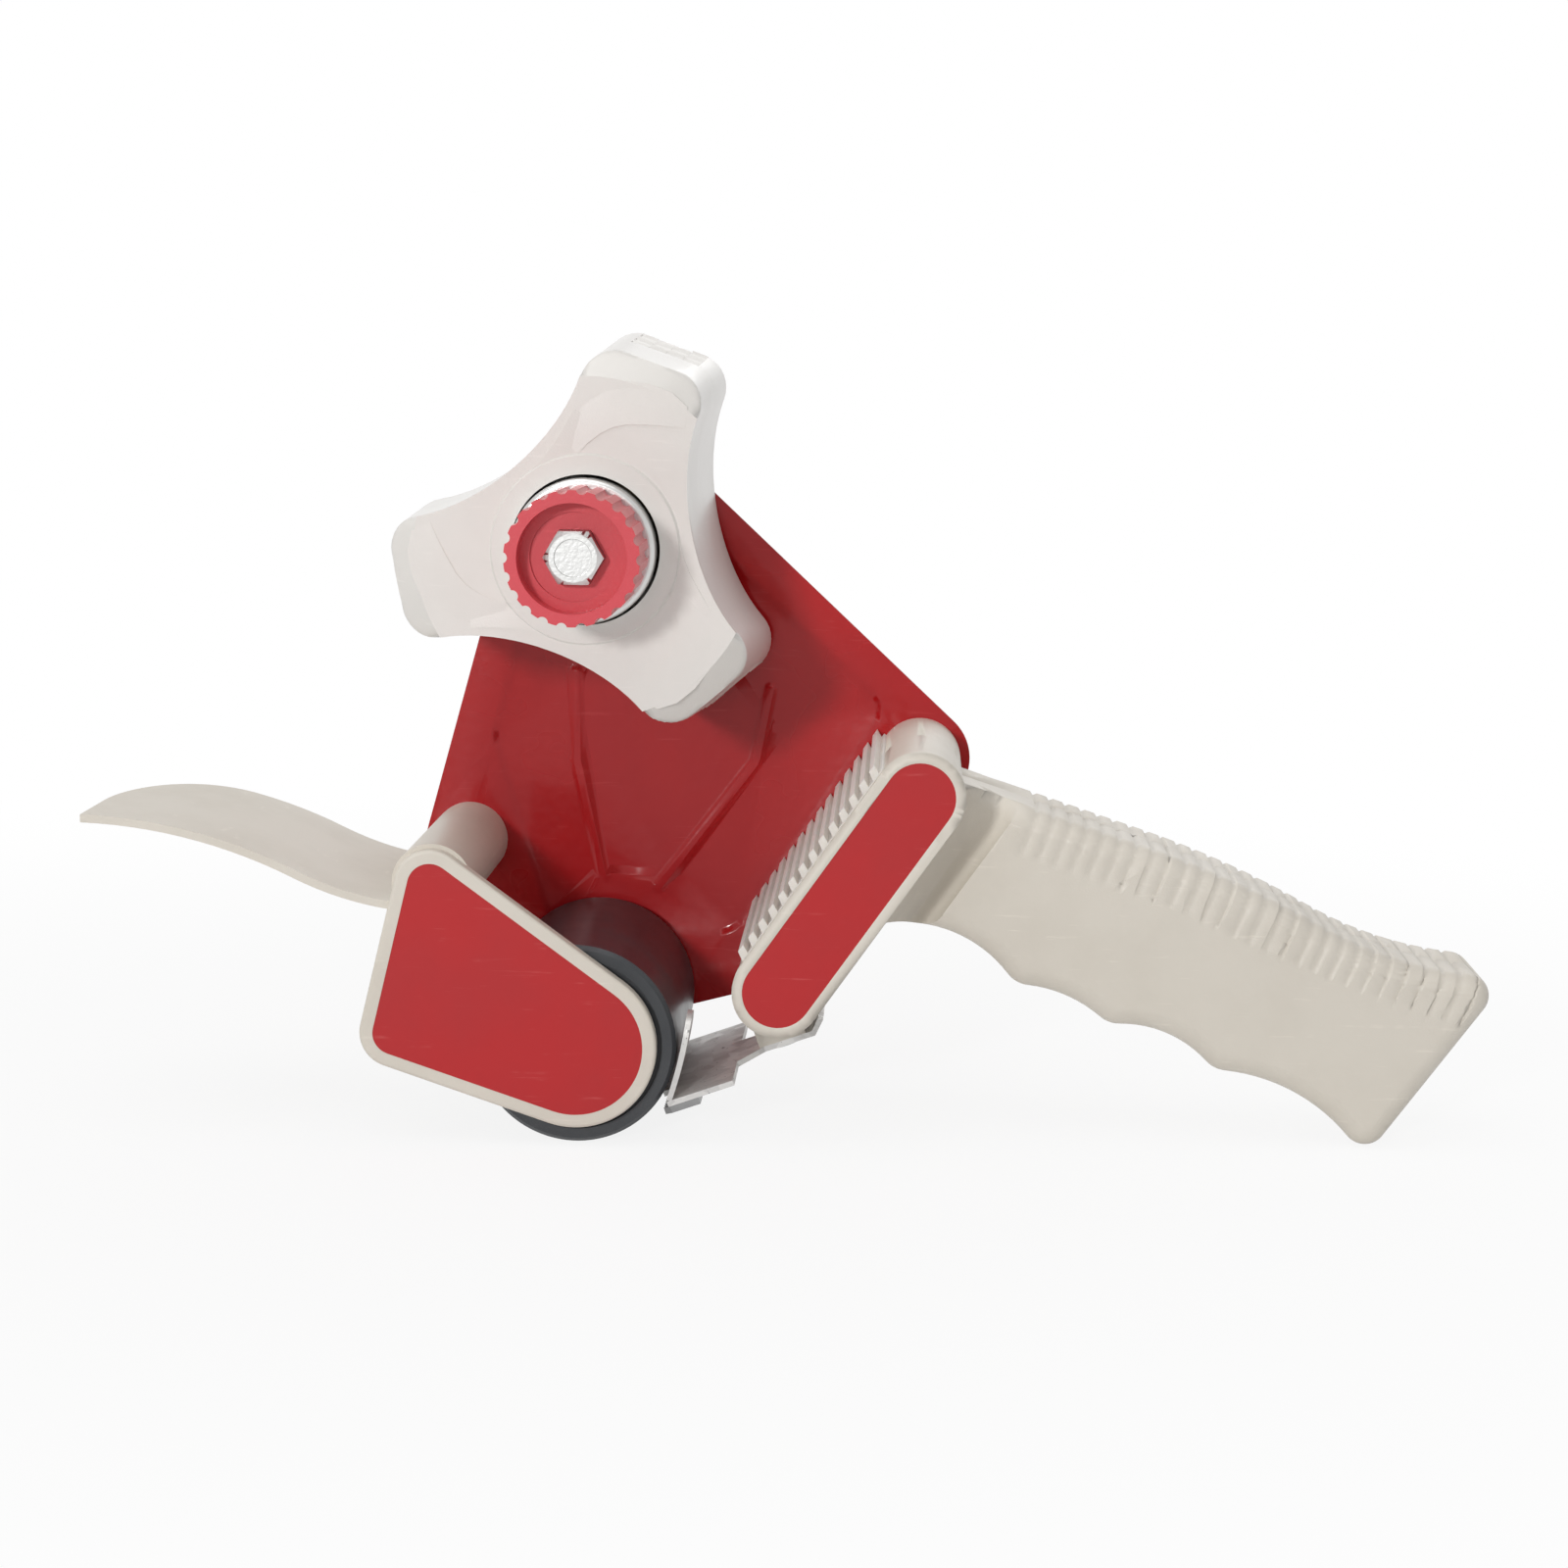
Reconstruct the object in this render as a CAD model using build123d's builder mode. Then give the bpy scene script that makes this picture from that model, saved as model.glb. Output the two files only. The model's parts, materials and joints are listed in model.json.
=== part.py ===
from build123d import *
import os
from math import atan2, cos, degrees, hypot, pi, radians, sin

# Hand-held packing tape dispenser for 50 mm tape on a 76 mm core.
# Millimetres, +Z up, +X towards the handle's butt, +Y from the open side to the steel side frame.
# The origin is on the hub axis, at the middle of the tape's width.

# Widths across the tape
tape_width = 50.0
cheek_gap = 0.2
cheek_thickness = 2.8
frame_gap = 1.5
frame_thickness = 1.2
cheek_inner = -(tape_width / 2 + cheek_gap)
cheek_outer = cheek_inner - cheek_thickness
frame_inner = tape_width / 2 + frame_gap
frame_outer = frame_inner + frame_thickness

# Places in the side view, as (x, z) from the hub axis
front_corner = (-29.9, -66.4)
lower_corner = (-37.1, -96.3)
roller_axis = (-1.3, -98.3)
rear_top = (66.0, -46.8)
rear_bottom = (38.8, -86.2)

# Steel side frame
frame_top_radius = 21.0
frame_front_radius = 9.5
frame_rear_radius = 10.6
frame_foot_radius = 9.4
frame_lobe_radius = 18.6
frame_neck_radius = 8.3
dish_depth = 1.5
dish_slope = 1.4
dish_top_radius = 13.9
dish_corners = [(-18.5, -44.0, 7.0), (-8.0, -80.0, 6.0), (24.0, -81.0, 5.5), (53.0, -36.8, 5.0)]
seat_radius = 9.0
rib_width = 3.4
rib_height = 1.0
rib_slope = 0.8
rib_ends = [((-8.4, -34.0), (-1.8, -72.0)), ((35.5, -42.0), (15.0, -73.0))]

# Drag brake on the hub axis, M6
bolt_radius = 3.0
bolt_clearance = 0.3
thread_clearance = 0.04
bolt_head_flats = 10.0
bolt_head_height = 4.0
nut_thickness = 5.0
bolt_end_proud = 2.5
bush_radius = 5.0
bush_wall_clearance = 0.1
running_clearance = 0.06
friction_radius = 13.4
friction_thickness = 1.2
cup_radius = 14.0
cup_wall = 1.0
cup_height = 6.2
cup_proud = 5.2
spring_wire = 1.6
spring_radius = 9.4
spring_turns = 5.0
wire_sides = 6

# Tension knob
knob_radius = 12.8
knob_height = 17.8
knob_lobes = 22
knob_scallop = 1.1
knob_recess_radius = 10.4
knob_recess_depth = 5.0
knob_step_radius = 8.5
knob_step_depth = 0.6
hex_pocket_depth = 1.0
hex_clearance = 0.1

# Three-lobed hub
hub_near = -24.0
hub_far = 25.3
hub_tip_radius = 38.0
hub_lobe_width = 24.0
hub_corner_radius = 6.5
hub_waist_radius = 19.5
hub_flare = 1.09
hub_bevel = 3.0
hub_wall = 2.4
hub_lobe_angle = 71.0
well_radius = 14.6
well_depth = 16.0
well_ring_width = 4.0
well_ring_height = 0.6
hub_tube_wall = 2.6

# Roller
roller_radius = 20.0
roller_end_gap = 0.5
tyre_thickness = 2.8
tyre_chamfer = 0.8
core_rim = 1.8
core_recess = 1.0
spoke_count = 6
spoke_thickness = 1.6
spoke_recess = 4.0
axle_radius = 3.0
axle_head_radius = 5.0
axle_head_height = 1.6
axle_head_chamfer = 0.9
axle_socket_depth = 1.6
core_tube_radius = 6.0

# Front bracket and its tongue
cheek_top_radius = 7.2
cheek_corner_radius = 7.0
cheek_round_radius = 16.3
panel_border = 2.7
panel_recess = 0.6
panel_thickness = 0.5
cheek_edge_round = 0.7
boss_radius = 8.0
tongue_thickness = 1.6
tongue_near = -26.5
tongue_far = 24.5
tongue_line = [(-33.0, -71.2), (-45.0, -69.3), (-57.0, -64.9), (-99.5, -54.7)]
tongue_square = 18.0
tongue_round_length = 24.0

# Rear bracket, handle and comb
rear_cheek_radius = 9.0
rear_slab_radius = 8.6
grip_half_width = 14.5
grip_round = 4.3
crest_round = 6.0
butt_round = 4.5
crest_level = -80.0
neck_radius = 6.0
neck_offset = 12.9
neck_depth = 4.5
foot_width = 10.0
foot_height = 14.0
foot_screw_depth = 9.0
comb_teeth = 14
comb_pitch = 3.4
comb_base = 1.2
comb_tooth_height = 4.2
comb_tip_width = 0.5
comb_lean = 1.2

# Cutter and its guide plate
plate_angle = 20.0
plate_start = (15.4, -110.1)
plate_thickness = 1.1
plate_length = 15.6
plate_near = -25.0
plate_far = 25.0
tail_length = 16.0
tail_near = -4.5
tail_far = 8.5
tail_flare = 5.5
tail_lip = [(44.9, -100.2), (46.5, -97.4)]
prong_width = 10.0
prong_line = [(19.0, -109.3), (20.6, -99.5), (21.4, -89.5)]
prong_setback = 3.0
prong_round = 4.6
blade_start = 2.0
blade_width = 6.8
blade_thickness = 1.0
blade_teeth = 26
tooth_depth = 1.4
rivet_radius = 1.4
rivet_head_radius = 2.4
rivet_head_height = 0.9
rivet_spacing = 34.0

# Screws
screw_radius = 1.9
screw_clearance = 0.25
screw_head_radius = 3.8
screw_head_height = 2.2
screw_depth = 14.0
screw_head_chamfer = 0.9
screw_point_gap = 1.0
recess_arm = 4.2
recess_width = 1.0
recess_depth = 1.3
handle_screws = [(101.0, -73.0), (131.0, -86.0), (160.0, -98.0)]
handle_screw_seat = 10.5
handle_screw_depth = 10.0
handle_wall = 3.2
handle_boss_radius = 5.2
cavity_start = 94.0

os.makedirs("parts", exist_ok=True)


def side(y):
    """Sketch plane of the side view at depth y: x to the right, y up, facing the open side."""
    return Plane.XZ.offset(-y)


def save(piece, name):
    """Labels a finished piece and writes it to its own file."""
    piece.label = name
    export_step(piece, "parts/" + name + ".step")


def hull_of(circles):
    """Face round a set of (x, y, radius) circles, as if a belt ran round them."""
    with BuildSketch() as belt:
        for x, y, radius in circles:
            with Locations((x, y)):
                Circle(radius)
        make_hull()
    return belt.sketch


# Local frame of the rear cheek: x runs from its upper to its lower end, y towards the handle.
rear_run = Vector(rear_bottom[0] - rear_top[0], 0, rear_bottom[1] - rear_top[1])
rear_length = rear_run.length


def rear_side(y):
    """Side-view plane at depth y, turned to lie along the rear cheek."""
    return Plane(origin=(rear_top[0], y, rear_top[1]), x_dir=rear_run, z_dir=(0, -1, 0))


def at(place, y):
    """Side-view plane at depth y with its origin on a named (x, z) place."""
    return Plane(origin=(place[0], y, place[1]), x_dir=(1, 0, 0), z_dir=(0, -1, 0))


# Side frame: a pressed sheet with a dished panel, a raised hub seat and two stiffening ribs.
screw_places = [front_corner, rear_top, rear_bottom]
frame_belt = hull_of([
    (0, 0, frame_top_radius),
    (*front_corner, frame_front_radius),
    (*roller_axis, frame_neck_radius),
    (*rear_bottom, frame_foot_radius),
    (*rear_top, frame_rear_radius),
])
frame_lobe = hull_of([(*front_corner, frame_front_radius), (*roller_axis, frame_lobe_radius)])


def dish_face(grow):
    """Outline of the dished panel, grown all round."""
    circles = [(0, 0, dish_top_radius)] + dish_corners
    return hull_of([(x, y, radius + grow) for x, y, radius in circles])


def rib_slot(start, end, width):
    """Rounded bar outline from one place to another."""
    length = hypot(end[0] - start[0], end[1] - start[1])
    angle = degrees(atan2(end[1] - start[1], end[0] - start[0]))
    with BuildSketch() as bar:
        with Locations(((start[0] + end[0]) / 2, (start[1] + end[1]) / 2)):
            SlotCenterToCenter(length, width, rotation=angle)
    return bar.sketch


frame_bend = frame_thickness / 2
dish_angle = degrees(atan2(dish_slope, dish_depth))
with BuildPart() as side_frame:
    with BuildSketch(side(frame_outer)):
        add(frame_belt)
        add(frame_lobe)
    extrude(amount=frame_thickness)
    for depth, grow, mode in ((frame_outer, frame_bend, Mode.ADD), (frame_inner, 0, Mode.SUBTRACT)):
        with BuildSketch(side(depth)):
            add(dish_face(grow))
        with BuildSketch(side(depth + dish_depth)):
            add(dish_face(grow - dish_slope))
        loft(mode=mode)
    with BuildSketch(side(frame_inner + dish_depth)):
        Circle(seat_radius + dish_slope)
    extrude(amount=dish_depth, taper=dish_angle)
    with BuildSketch(side(frame_outer + dish_depth)):
        Circle(seat_radius + dish_slope - frame_bend)
    extrude(amount=dish_depth, taper=dish_angle, mode=Mode.SUBTRACT)
    for depth, width, mode in (
        (frame_inner + dish_depth, rib_width, Mode.ADD),
        (frame_outer + dish_depth, rib_width - frame_bend, Mode.SUBTRACT),
    ):
        for start, end in rib_ends:
            with BuildSketch(side(depth)):
                add(rib_slot(start, end, width))
            with BuildSketch(side(depth - rib_height)):
                add(rib_slot(start, end, width - 2 * rib_slope))
            loft(mode=mode)
    with BuildSketch(side(frame_outer + dish_depth)):
        Circle(bolt_radius + bolt_clearance)
    extrude(amount=2 * dish_depth + frame_thickness, mode=Mode.SUBTRACT)
    with BuildSketch(side(frame_outer)):
        with Locations(*screw_places):
            Circle(screw_radius + screw_clearance)
        with Locations(roller_axis):
            Circle(axle_radius + thread_clearance)
    extrude(amount=frame_thickness, mode=Mode.SUBTRACT)
save(side_frame.part, "side_frame")

# Drag brake: nut, bush, friction discs, spring, cup washer, knob and bolt, all on the hub axis.
nut_face = frame_outer
nut_end = nut_face + nut_thickness
well_floor = hub_near + well_depth
cup_front = hub_near - cup_proud
knob_back = cup_front
knob_front = knob_back - knob_height
recess_floor = knob_front + knob_recess_depth
head_seat = recess_floor + hex_pocket_depth

with BuildPart() as hub_nut:
    with BuildSketch(side(nut_end)):
        RegularPolygon(bolt_head_flats / 2, 6, major_radius=False)
        Circle(bolt_radius + thread_clearance, mode=Mode.SUBTRACT)
    extrude(amount=nut_thickness)
save(hub_nut.part, "hub_nut")

with BuildPart() as hub_bush:
    with BuildSketch(side(frame_inner)):
        Circle(bush_radius)
        Circle(bolt_radius + bush_wall_clearance, mode=Mode.SUBTRACT)
    extrude(amount=frame_inner - well_floor + 2 * friction_thickness)
save(hub_bush.part, "hub_bush")

with BuildPart() as rear_friction_disc:
    with BuildSketch(side(frame_inner)):
        Circle(seat_radius)
        Circle(bush_radius + running_clearance, mode=Mode.SUBTRACT)
    extrude(amount=frame_inner - hub_far)
save(rear_friction_disc.part, "rear_friction_disc")

with BuildPart() as front_friction_disc:
    with BuildSketch(side(well_floor)):
        Circle(friction_radius)
        Circle(bush_radius + running_clearance, mode=Mode.SUBTRACT)
    extrude(amount=friction_thickness)
save(front_friction_disc.part, "front_friction_disc")

with BuildPart() as spring_cup:
    with BuildSketch(side(cup_front + cup_height)):
        Circle(cup_radius)
        Circle(bolt_radius + bush_wall_clearance, mode=Mode.SUBTRACT)
    extrude(amount=cup_height)
    with BuildSketch(side(cup_front + cup_height)):
        Circle(cup_radius - cup_wall)
    extrude(amount=cup_height - cup_wall, mode=Mode.SUBTRACT)
    fillet(spring_cup.faces().sort_by(Axis.Y)[0].outer_wire().edges(), cup_wall * 0.9)
save(spring_cup.part, "spring_cup")

spring_back = well_floor - friction_thickness
spring_front = cup_front + cup_wall
spring_length = spring_back - spring_front - spring_wire
spring_pitch = spring_length / spring_turns
with BuildPart() as tension_spring:
    with BuildLine() as coil:
        Helix(
            pitch=spring_pitch,
            height=spring_length,
            radius=spring_radius,
            center=(0, spring_back - spring_wire / 2, 0),
            direction=(0, -1, 0),
        )
    with BuildSketch(Plane(origin=coil.line @ 0, z_dir=coil.line % 0)):
        RegularPolygon(spring_wire / 2, wire_sides)
    sweep(is_frenet=True)
save(tension_spring.part, "tension_spring")

with BuildPart() as tension_knob:
    with BuildSketch(side(knob_back)):
        Circle(knob_radius)
        with PolarLocations(knob_radius + knob_scallop * 0.35, knob_lobes):
            Circle(knob_scallop, mode=Mode.SUBTRACT)
    extrude(amount=knob_height)
    with BuildSketch(side(recess_floor)):
        Circle(knob_recess_radius)
    extrude(amount=knob_recess_depth, mode=Mode.SUBTRACT)
    with BuildSketch(side(recess_floor + knob_step_depth)):
        Circle(knob_step_radius)
    extrude(amount=knob_step_depth, mode=Mode.SUBTRACT)
    with BuildSketch(side(head_seat)):
        RegularPolygon(bolt_head_flats / 2 + hex_clearance, 6, major_radius=False)
    extrude(amount=hex_pocket_depth, mode=Mode.SUBTRACT)
    with BuildSketch(side(knob_back)):
        Circle(bolt_radius + bush_wall_clearance)
    extrude(amount=knob_height, mode=Mode.SUBTRACT)
save(tension_knob.part, "tension_knob")

with BuildPart() as hub_bolt:
    with BuildSketch(side(head_seat)):
        RegularPolygon(bolt_head_flats / 2, 6, major_radius=False)
    extrude(amount=bolt_head_height)
    with BuildSketch(side(nut_end + bolt_end_proud)):
        Circle(bolt_radius)
    extrude(amount=nut_end + bolt_end_proud - head_seat)
    chamfer(hub_bolt.edges().filter_by(GeomType.CIRCLE).sort_by(Axis.Y)[-1], 0.6)
save(hub_bolt.part, "hub_bolt")


# Hub: three drafted lobes, hollow from the back, with a well for the brake and a bearing tube.
def hub_outline(grow, scale_to):
    """Trefoil face: three straight lobes with rounded ends, joined by wide concave waists."""
    with BuildSketch() as trefoil:
        for turn in range(3):
            with Locations(Rotation(0, 0, hub_lobe_angle + 120 * turn)):
                with Locations((hub_tip_radius / 2, 0)):
                    Rectangle(hub_tip_radius, hub_lobe_width)
        fillet(trefoil.vertices().sort_by_distance((0, 0))[3:], hub_corner_radius)
        fillet(trefoil.vertices().sort_by_distance((0, 0))[:3], hub_waist_radius)
        if grow:
            offset(amount=grow)
        scale(by=scale_to)
    return trefoil.sketch


hub_length = hub_far - hub_near
with BuildPart() as core_hub:
    with BuildSketch(side(hub_far)):
        add(hub_outline(0, hub_flare))
    with BuildSketch(side(hub_near + hub_bevel)):
        add(hub_outline(0, 1))
    loft()
    with BuildSketch(side(hub_near + hub_bevel)):
        add(hub_outline(0, 1))
    extrude(amount=hub_bevel, taper=45)
    with BuildSketch(side(hub_far)):
        add(hub_outline(-hub_wall, hub_flare))
    with BuildSketch(side(hub_near + hub_bevel + hub_wall)):
        add(hub_outline(-hub_wall, 1))
    loft(mode=Mode.SUBTRACT)
    with BuildSketch(side(well_floor + hub_wall)):
        Circle(well_radius + hub_wall)
    extrude(amount=well_depth + hub_wall - hub_bevel)
    with BuildSketch(side(hub_far)):
        Circle(bush_radius + running_clearance + hub_tube_wall)
    extrude(amount=hub_far - well_floor - hub_wall / 2)
    with BuildSketch(side(hub_near)):
        Circle(well_radius + well_ring_width)
    extrude(amount=well_ring_height, taper=30)
    with BuildSketch(side(well_floor)):
        Circle(well_radius)
    extrude(amount=well_depth + well_ring_height, mode=Mode.SUBTRACT)
    with BuildSketch(side(hub_far)):
        Circle(bush_radius + running_clearance)
    extrude(amount=hub_length, mode=Mode.SUBTRACT)
save(core_hub.part, "core_hub")

# Roller: rubber tyre on a spoked core, turning on a headed axle.
roller_near = cheek_inner + roller_end_gap
roller_far = frame_inner - roller_end_gap
roller_length = roller_far - roller_near
core_radius = roller_radius - tyre_thickness

with BuildPart() as roller_tyre:
    with BuildSketch(at(roller_axis, roller_far)):
        Circle(roller_radius)
        Circle(core_radius, mode=Mode.SUBTRACT)
    extrude(amount=roller_length)
    chamfer(roller_tyre.edges().filter_by(GeomType.CIRCLE).group_by(SortBy.RADIUS)[-1], tyre_chamfer)
save(roller_tyre.part, "roller_tyre")

with BuildPart() as roller_core:
    with BuildSketch(at(roller_axis, roller_far - core_recess)):
        Circle(core_radius)
        Circle(core_radius - core_rim, mode=Mode.SUBTRACT)
    extrude(amount=roller_length - 2 * core_recess)
    with BuildSketch(at(roller_axis, roller_far)):
        Circle(core_tube_radius)
    extrude(amount=roller_length)
    with BuildSketch(at(roller_axis, roller_far - spoke_recess)):
        with PolarLocations((core_radius - core_rim / 2) / 2, spoke_count, start_angle=18):
            Rectangle(core_radius - core_rim / 2, spoke_thickness)
    extrude(amount=roller_length - 2 * spoke_recess)
    with BuildSketch(at(roller_axis, roller_far)):
        Circle(axle_radius + running_clearance)
    extrude(amount=roller_length, mode=Mode.SUBTRACT)
save(roller_core.part, "roller_core")

axle_tip = cheek_inner - axle_socket_depth
with BuildPart() as roller_axle:
    with BuildSketch(at(roller_axis, frame_outer + axle_head_height)):
        Circle(axle_head_radius)
    extrude(amount=axle_head_height)
    chamfer(roller_axle.edges().sort_by(Axis.Y)[-1], axle_head_chamfer)
    with BuildSketch(at(roller_axis, frame_outer)):
        Circle(axle_radius)
    extrude(amount=frame_outer - axle_tip)
save(roller_axle.part, "roller_axle")

# Front bracket: cheek, boss to the frame and the thin tongue, one moulding.
front_cheek = [
    (*front_corner, cheek_top_radius),
    (*lower_corner, cheek_corner_radius),
    (*roller_axis, cheek_round_radius),
]
front_cheek_face = hull_of(front_cheek)
tongue_tip = tongue_line[-1][0]

with BuildPart() as front_bracket:
    with BuildSketch(side(tongue_far)):
        with BuildLine():
            root = ThreePointArc(*tongue_line[:3])
            TangentArc(root @ 1, tongue_line[3], tangent=root % 1)
            offset(amount=tongue_thickness / 2, side=Side.BOTH)
        make_face()
    extrude(amount=tongue_far - tongue_near)
    with BuildSketch(Plane.XY.offset(-130)):
        with BuildLine():
            Polyline(
                (tongue_tip + tongue_round_length, tongue_far),
                (0, tongue_far),
                (0, tongue_near),
                (tongue_tip, tongue_near),
                (tongue_tip, tongue_near + tongue_square),
            )
            EllipticalCenterArc(
                (tongue_tip + tongue_round_length, tongue_near + tongue_square),
                tongue_round_length,
                tongue_far - tongue_near - tongue_square,
                start_angle=90,
                arc_size=90,
            )
        make_face()
    extrude(amount=120, mode=Mode.INTERSECT)
    with BuildSketch(side(cheek_inner)):
        add(front_cheek_face)
    extrude(amount=cheek_thickness)
    fillet(front_bracket.faces().sort_by(Axis.Y)[0].edges(), cheek_edge_round)
    with BuildSketch(at(front_corner, frame_inner)):
        Circle(boss_radius)
    extrude(amount=frame_inner - cheek_inner)
    with BuildSketch(side(cheek_outer)):
        offset(front_cheek_face, amount=-panel_border)
    extrude(amount=-panel_recess, mode=Mode.SUBTRACT)
    with BuildSketch(at(front_corner, frame_inner)):
        Circle(screw_radius)
    extrude(amount=screw_depth, mode=Mode.SUBTRACT)
    with BuildSketch(at(roller_axis, cheek_inner)):
        Circle(axle_radius + thread_clearance)
    extrude(amount=axle_socket_depth, mode=Mode.SUBTRACT)
save(front_bracket.part, "front_bracket")

with BuildPart() as front_panel:
    with BuildSketch(side(cheek_outer + panel_recess)):
        offset(front_cheek_face, amount=-panel_border)
    extrude(amount=panel_thickness)
save(front_panel.part, "front_panel")

# Handle: rear cheek, slab to the frame and the scalloped grip, split along the tape's mid-plane.
top_line = [(68.0, -44.1), (112.0, -58.3), (147.0, -73.4), (184.8, -82.9)]
scallops = [
    ((56.0, -76.0), (71.0, -75.8), (86.0, -87.0)),
    ((86.0, -87.0), (96.0, -88.9), (105.0, -94.8)),
    ((105.0, -94.8), (116.5, -96.2), (126.4, -103.6)),
    ((126.4, -103.6), (141.5, -107.2), (157.4, -121.45)),
]


def grip_face(inset):
    """Side outline of the grip, pulled in all round by an inset."""
    with BuildSketch() as grip:
        with BuildLine():
            top = Line(top_line[0], top_line[1])
            for bend_end in top_line[2:]:
                top = TangentArc(top @ 1, bend_end, tangent=top % 1)
            for start, middle, end in scallops:
                ThreePointArc(start, middle, end)
            Line(scallops[-1][2], top @ 1)
            Line(scallops[0][0], top_line[0])
        make_face()
        fillet(grip.vertices().sort_by(Axis.X)[-2:], butt_round)
        low = grip.vertices().filter_by(lambda corner: corner.Y < crest_level)
        fillet(low.sort_by(Axis.X)[:3], crest_round)
        if inset:
            offset(amount=-inset)
    return grip.sketch


guide_plane = Plane(
    origin=(plate_start[0], 0, plate_start[1]),
    x_dir=(cos(radians(plate_angle)), 0, sin(radians(plate_angle))),
    z_dir=(-sin(radians(plate_angle)), 0, cos(radians(plate_angle))),
)
tail_middle = (tail_near + tail_far) / 2
tail_screw = plate_length + tail_length * 0.6
counterbore_radius = screw_head_radius + screw_clearance

with BuildPart() as handle_whole:
    with BuildSketch(side(grip_half_width)):
        add(grip_face(0))
    extrude(amount=2 * grip_half_width)
    fillet(handle_whole.faces().filter_by(Axis.Y).edges().sort_by(Axis.X)[2:], grip_round)
    for depth in (-grip_half_width - neck_radius + neck_depth, grip_half_width + neck_radius - neck_depth):
        groove = Plane(
            origin=rear_side(depth).from_local_coords((0, neck_offset, 0)),
            x_dir=(0, 1, 0),
            z_dir=rear_run,
        )
        with BuildSketch(groove.offset(-20)):
            Circle(neck_radius)
        extrude(amount=rear_length + 40, mode=Mode.SUBTRACT)
    with BuildSketch(side(grip_half_width - handle_wall)):
        add(grip_face(handle_wall))
        with Locations((cavity_start, handle_screws[0][1])):
            Rectangle(100, 100, align=(Align.MAX, Align.CENTER), mode=Mode.SUBTRACT)
        with Locations(*handle_screws):
            Circle(handle_boss_radius, mode=Mode.SUBTRACT)
    extrude(amount=2 * (grip_half_width - handle_wall), mode=Mode.SUBTRACT)
    with BuildSketch(rear_side(frame_inner)):
        with Locations((rear_length / 2, 0)):
            SlotCenterToCenter(rear_length, 2 * rear_slab_radius)
    extrude(amount=frame_inner - cheek_inner)
    with BuildSketch(rear_side(cheek_inner)):
        with Locations((rear_length / 2, 0)):
            SlotCenterToCenter(rear_length, 2 * rear_cheek_radius)
    extrude(amount=cheek_thickness)
    with BuildSketch(rear_side(cheek_outer)):
        with Locations((rear_length / 2, 0)):
            SlotCenterToCenter(rear_length, 2 * (rear_cheek_radius - panel_border * 0.75))
    extrude(amount=-panel_recess, mode=Mode.SUBTRACT)
    with BuildSketch(guide_plane):
        with Locations((tail_screw, tail_middle)):
            Rectangle(foot_width, tail_far - tail_near)
    extrude(amount=foot_height)
    for place in (rear_top, rear_bottom):
        with BuildSketch(at(place, frame_inner)):
            Circle(screw_radius)
        extrude(amount=screw_depth, mode=Mode.SUBTRACT)
    with BuildSketch(guide_plane):
        with Locations((tail_screw, tail_middle)):
            Circle(screw_radius)
    extrude(amount=foot_screw_depth, mode=Mode.SUBTRACT)
    for depth, radius, reach in (
        (grip_half_width, counterbore_radius, grip_half_width - handle_screw_seat),
        (handle_screw_seat, screw_radius + screw_clearance, handle_screw_seat),
        (0, screw_radius, handle_screw_depth),
    ):
        with BuildSketch(side(depth)):
            with Locations(*handle_screws):
                Circle(radius)
        extrude(amount=reach, mode=Mode.SUBTRACT)

handle_near_half = split(handle_whole.part, bisect_by=Plane.XZ, keep=Keep.TOP)
handle_far_half = split(handle_whole.part, bisect_by=Plane.XZ, keep=Keep.BOTTOM)
save(handle_near_half, "handle_near_half")
save(handle_far_half, "handle_far_half")

with BuildPart() as rear_panel:
    with BuildSketch(rear_side(cheek_outer + panel_recess)):
        with Locations((rear_length / 2, 0)):
            SlotCenterToCenter(rear_length, 2 * (rear_cheek_radius - panel_border * 0.75))
    extrude(amount=panel_thickness)
save(rear_panel.part, "rear_panel")

# Comb that holds the tape's end: a row of leaning teeth along the rear slab.
comb_length = comb_teeth * comb_pitch
comb_root = -rear_slab_radius - comb_base
comb_tip = comb_root - comb_tooth_height
with BuildPart() as comb_strip:
    with BuildSketch(rear_side(frame_inner)):
        with Locations((rear_length / 2, comb_root + comb_base / 2)):
            Rectangle(comb_length, comb_base)
        for tooth in range(comb_teeth):
            start = (rear_length - comb_length) / 2 + tooth * comb_pitch
            with BuildLine():
                Polyline(
                    (start, comb_root),
                    (start - comb_lean, comb_tip),
                    (start - comb_lean + comb_tip_width, comb_tip),
                    (start + comb_pitch, comb_root),
                    close=True,
                )
            make_face()
    extrude(amount=frame_inner - cheek_inner)
save(comb_strip.part, "comb_strip")

# Cutter: a guide plate on a tail with an upturned lip, an upright prong and a toothed blade below.
blade_near = plate_near + prong_width
blade_length = plate_far - blade_near
blade_middle = (blade_near + plate_far) / 2
rivet_line = blade_start + blade_width * 0.62
rivets = [(rivet_line, blade_middle + way * rivet_spacing / 2) for way in (-1, 1)]
tail_end = plate_length + tail_length
blade_below = -plate_thickness - blade_thickness

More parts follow.
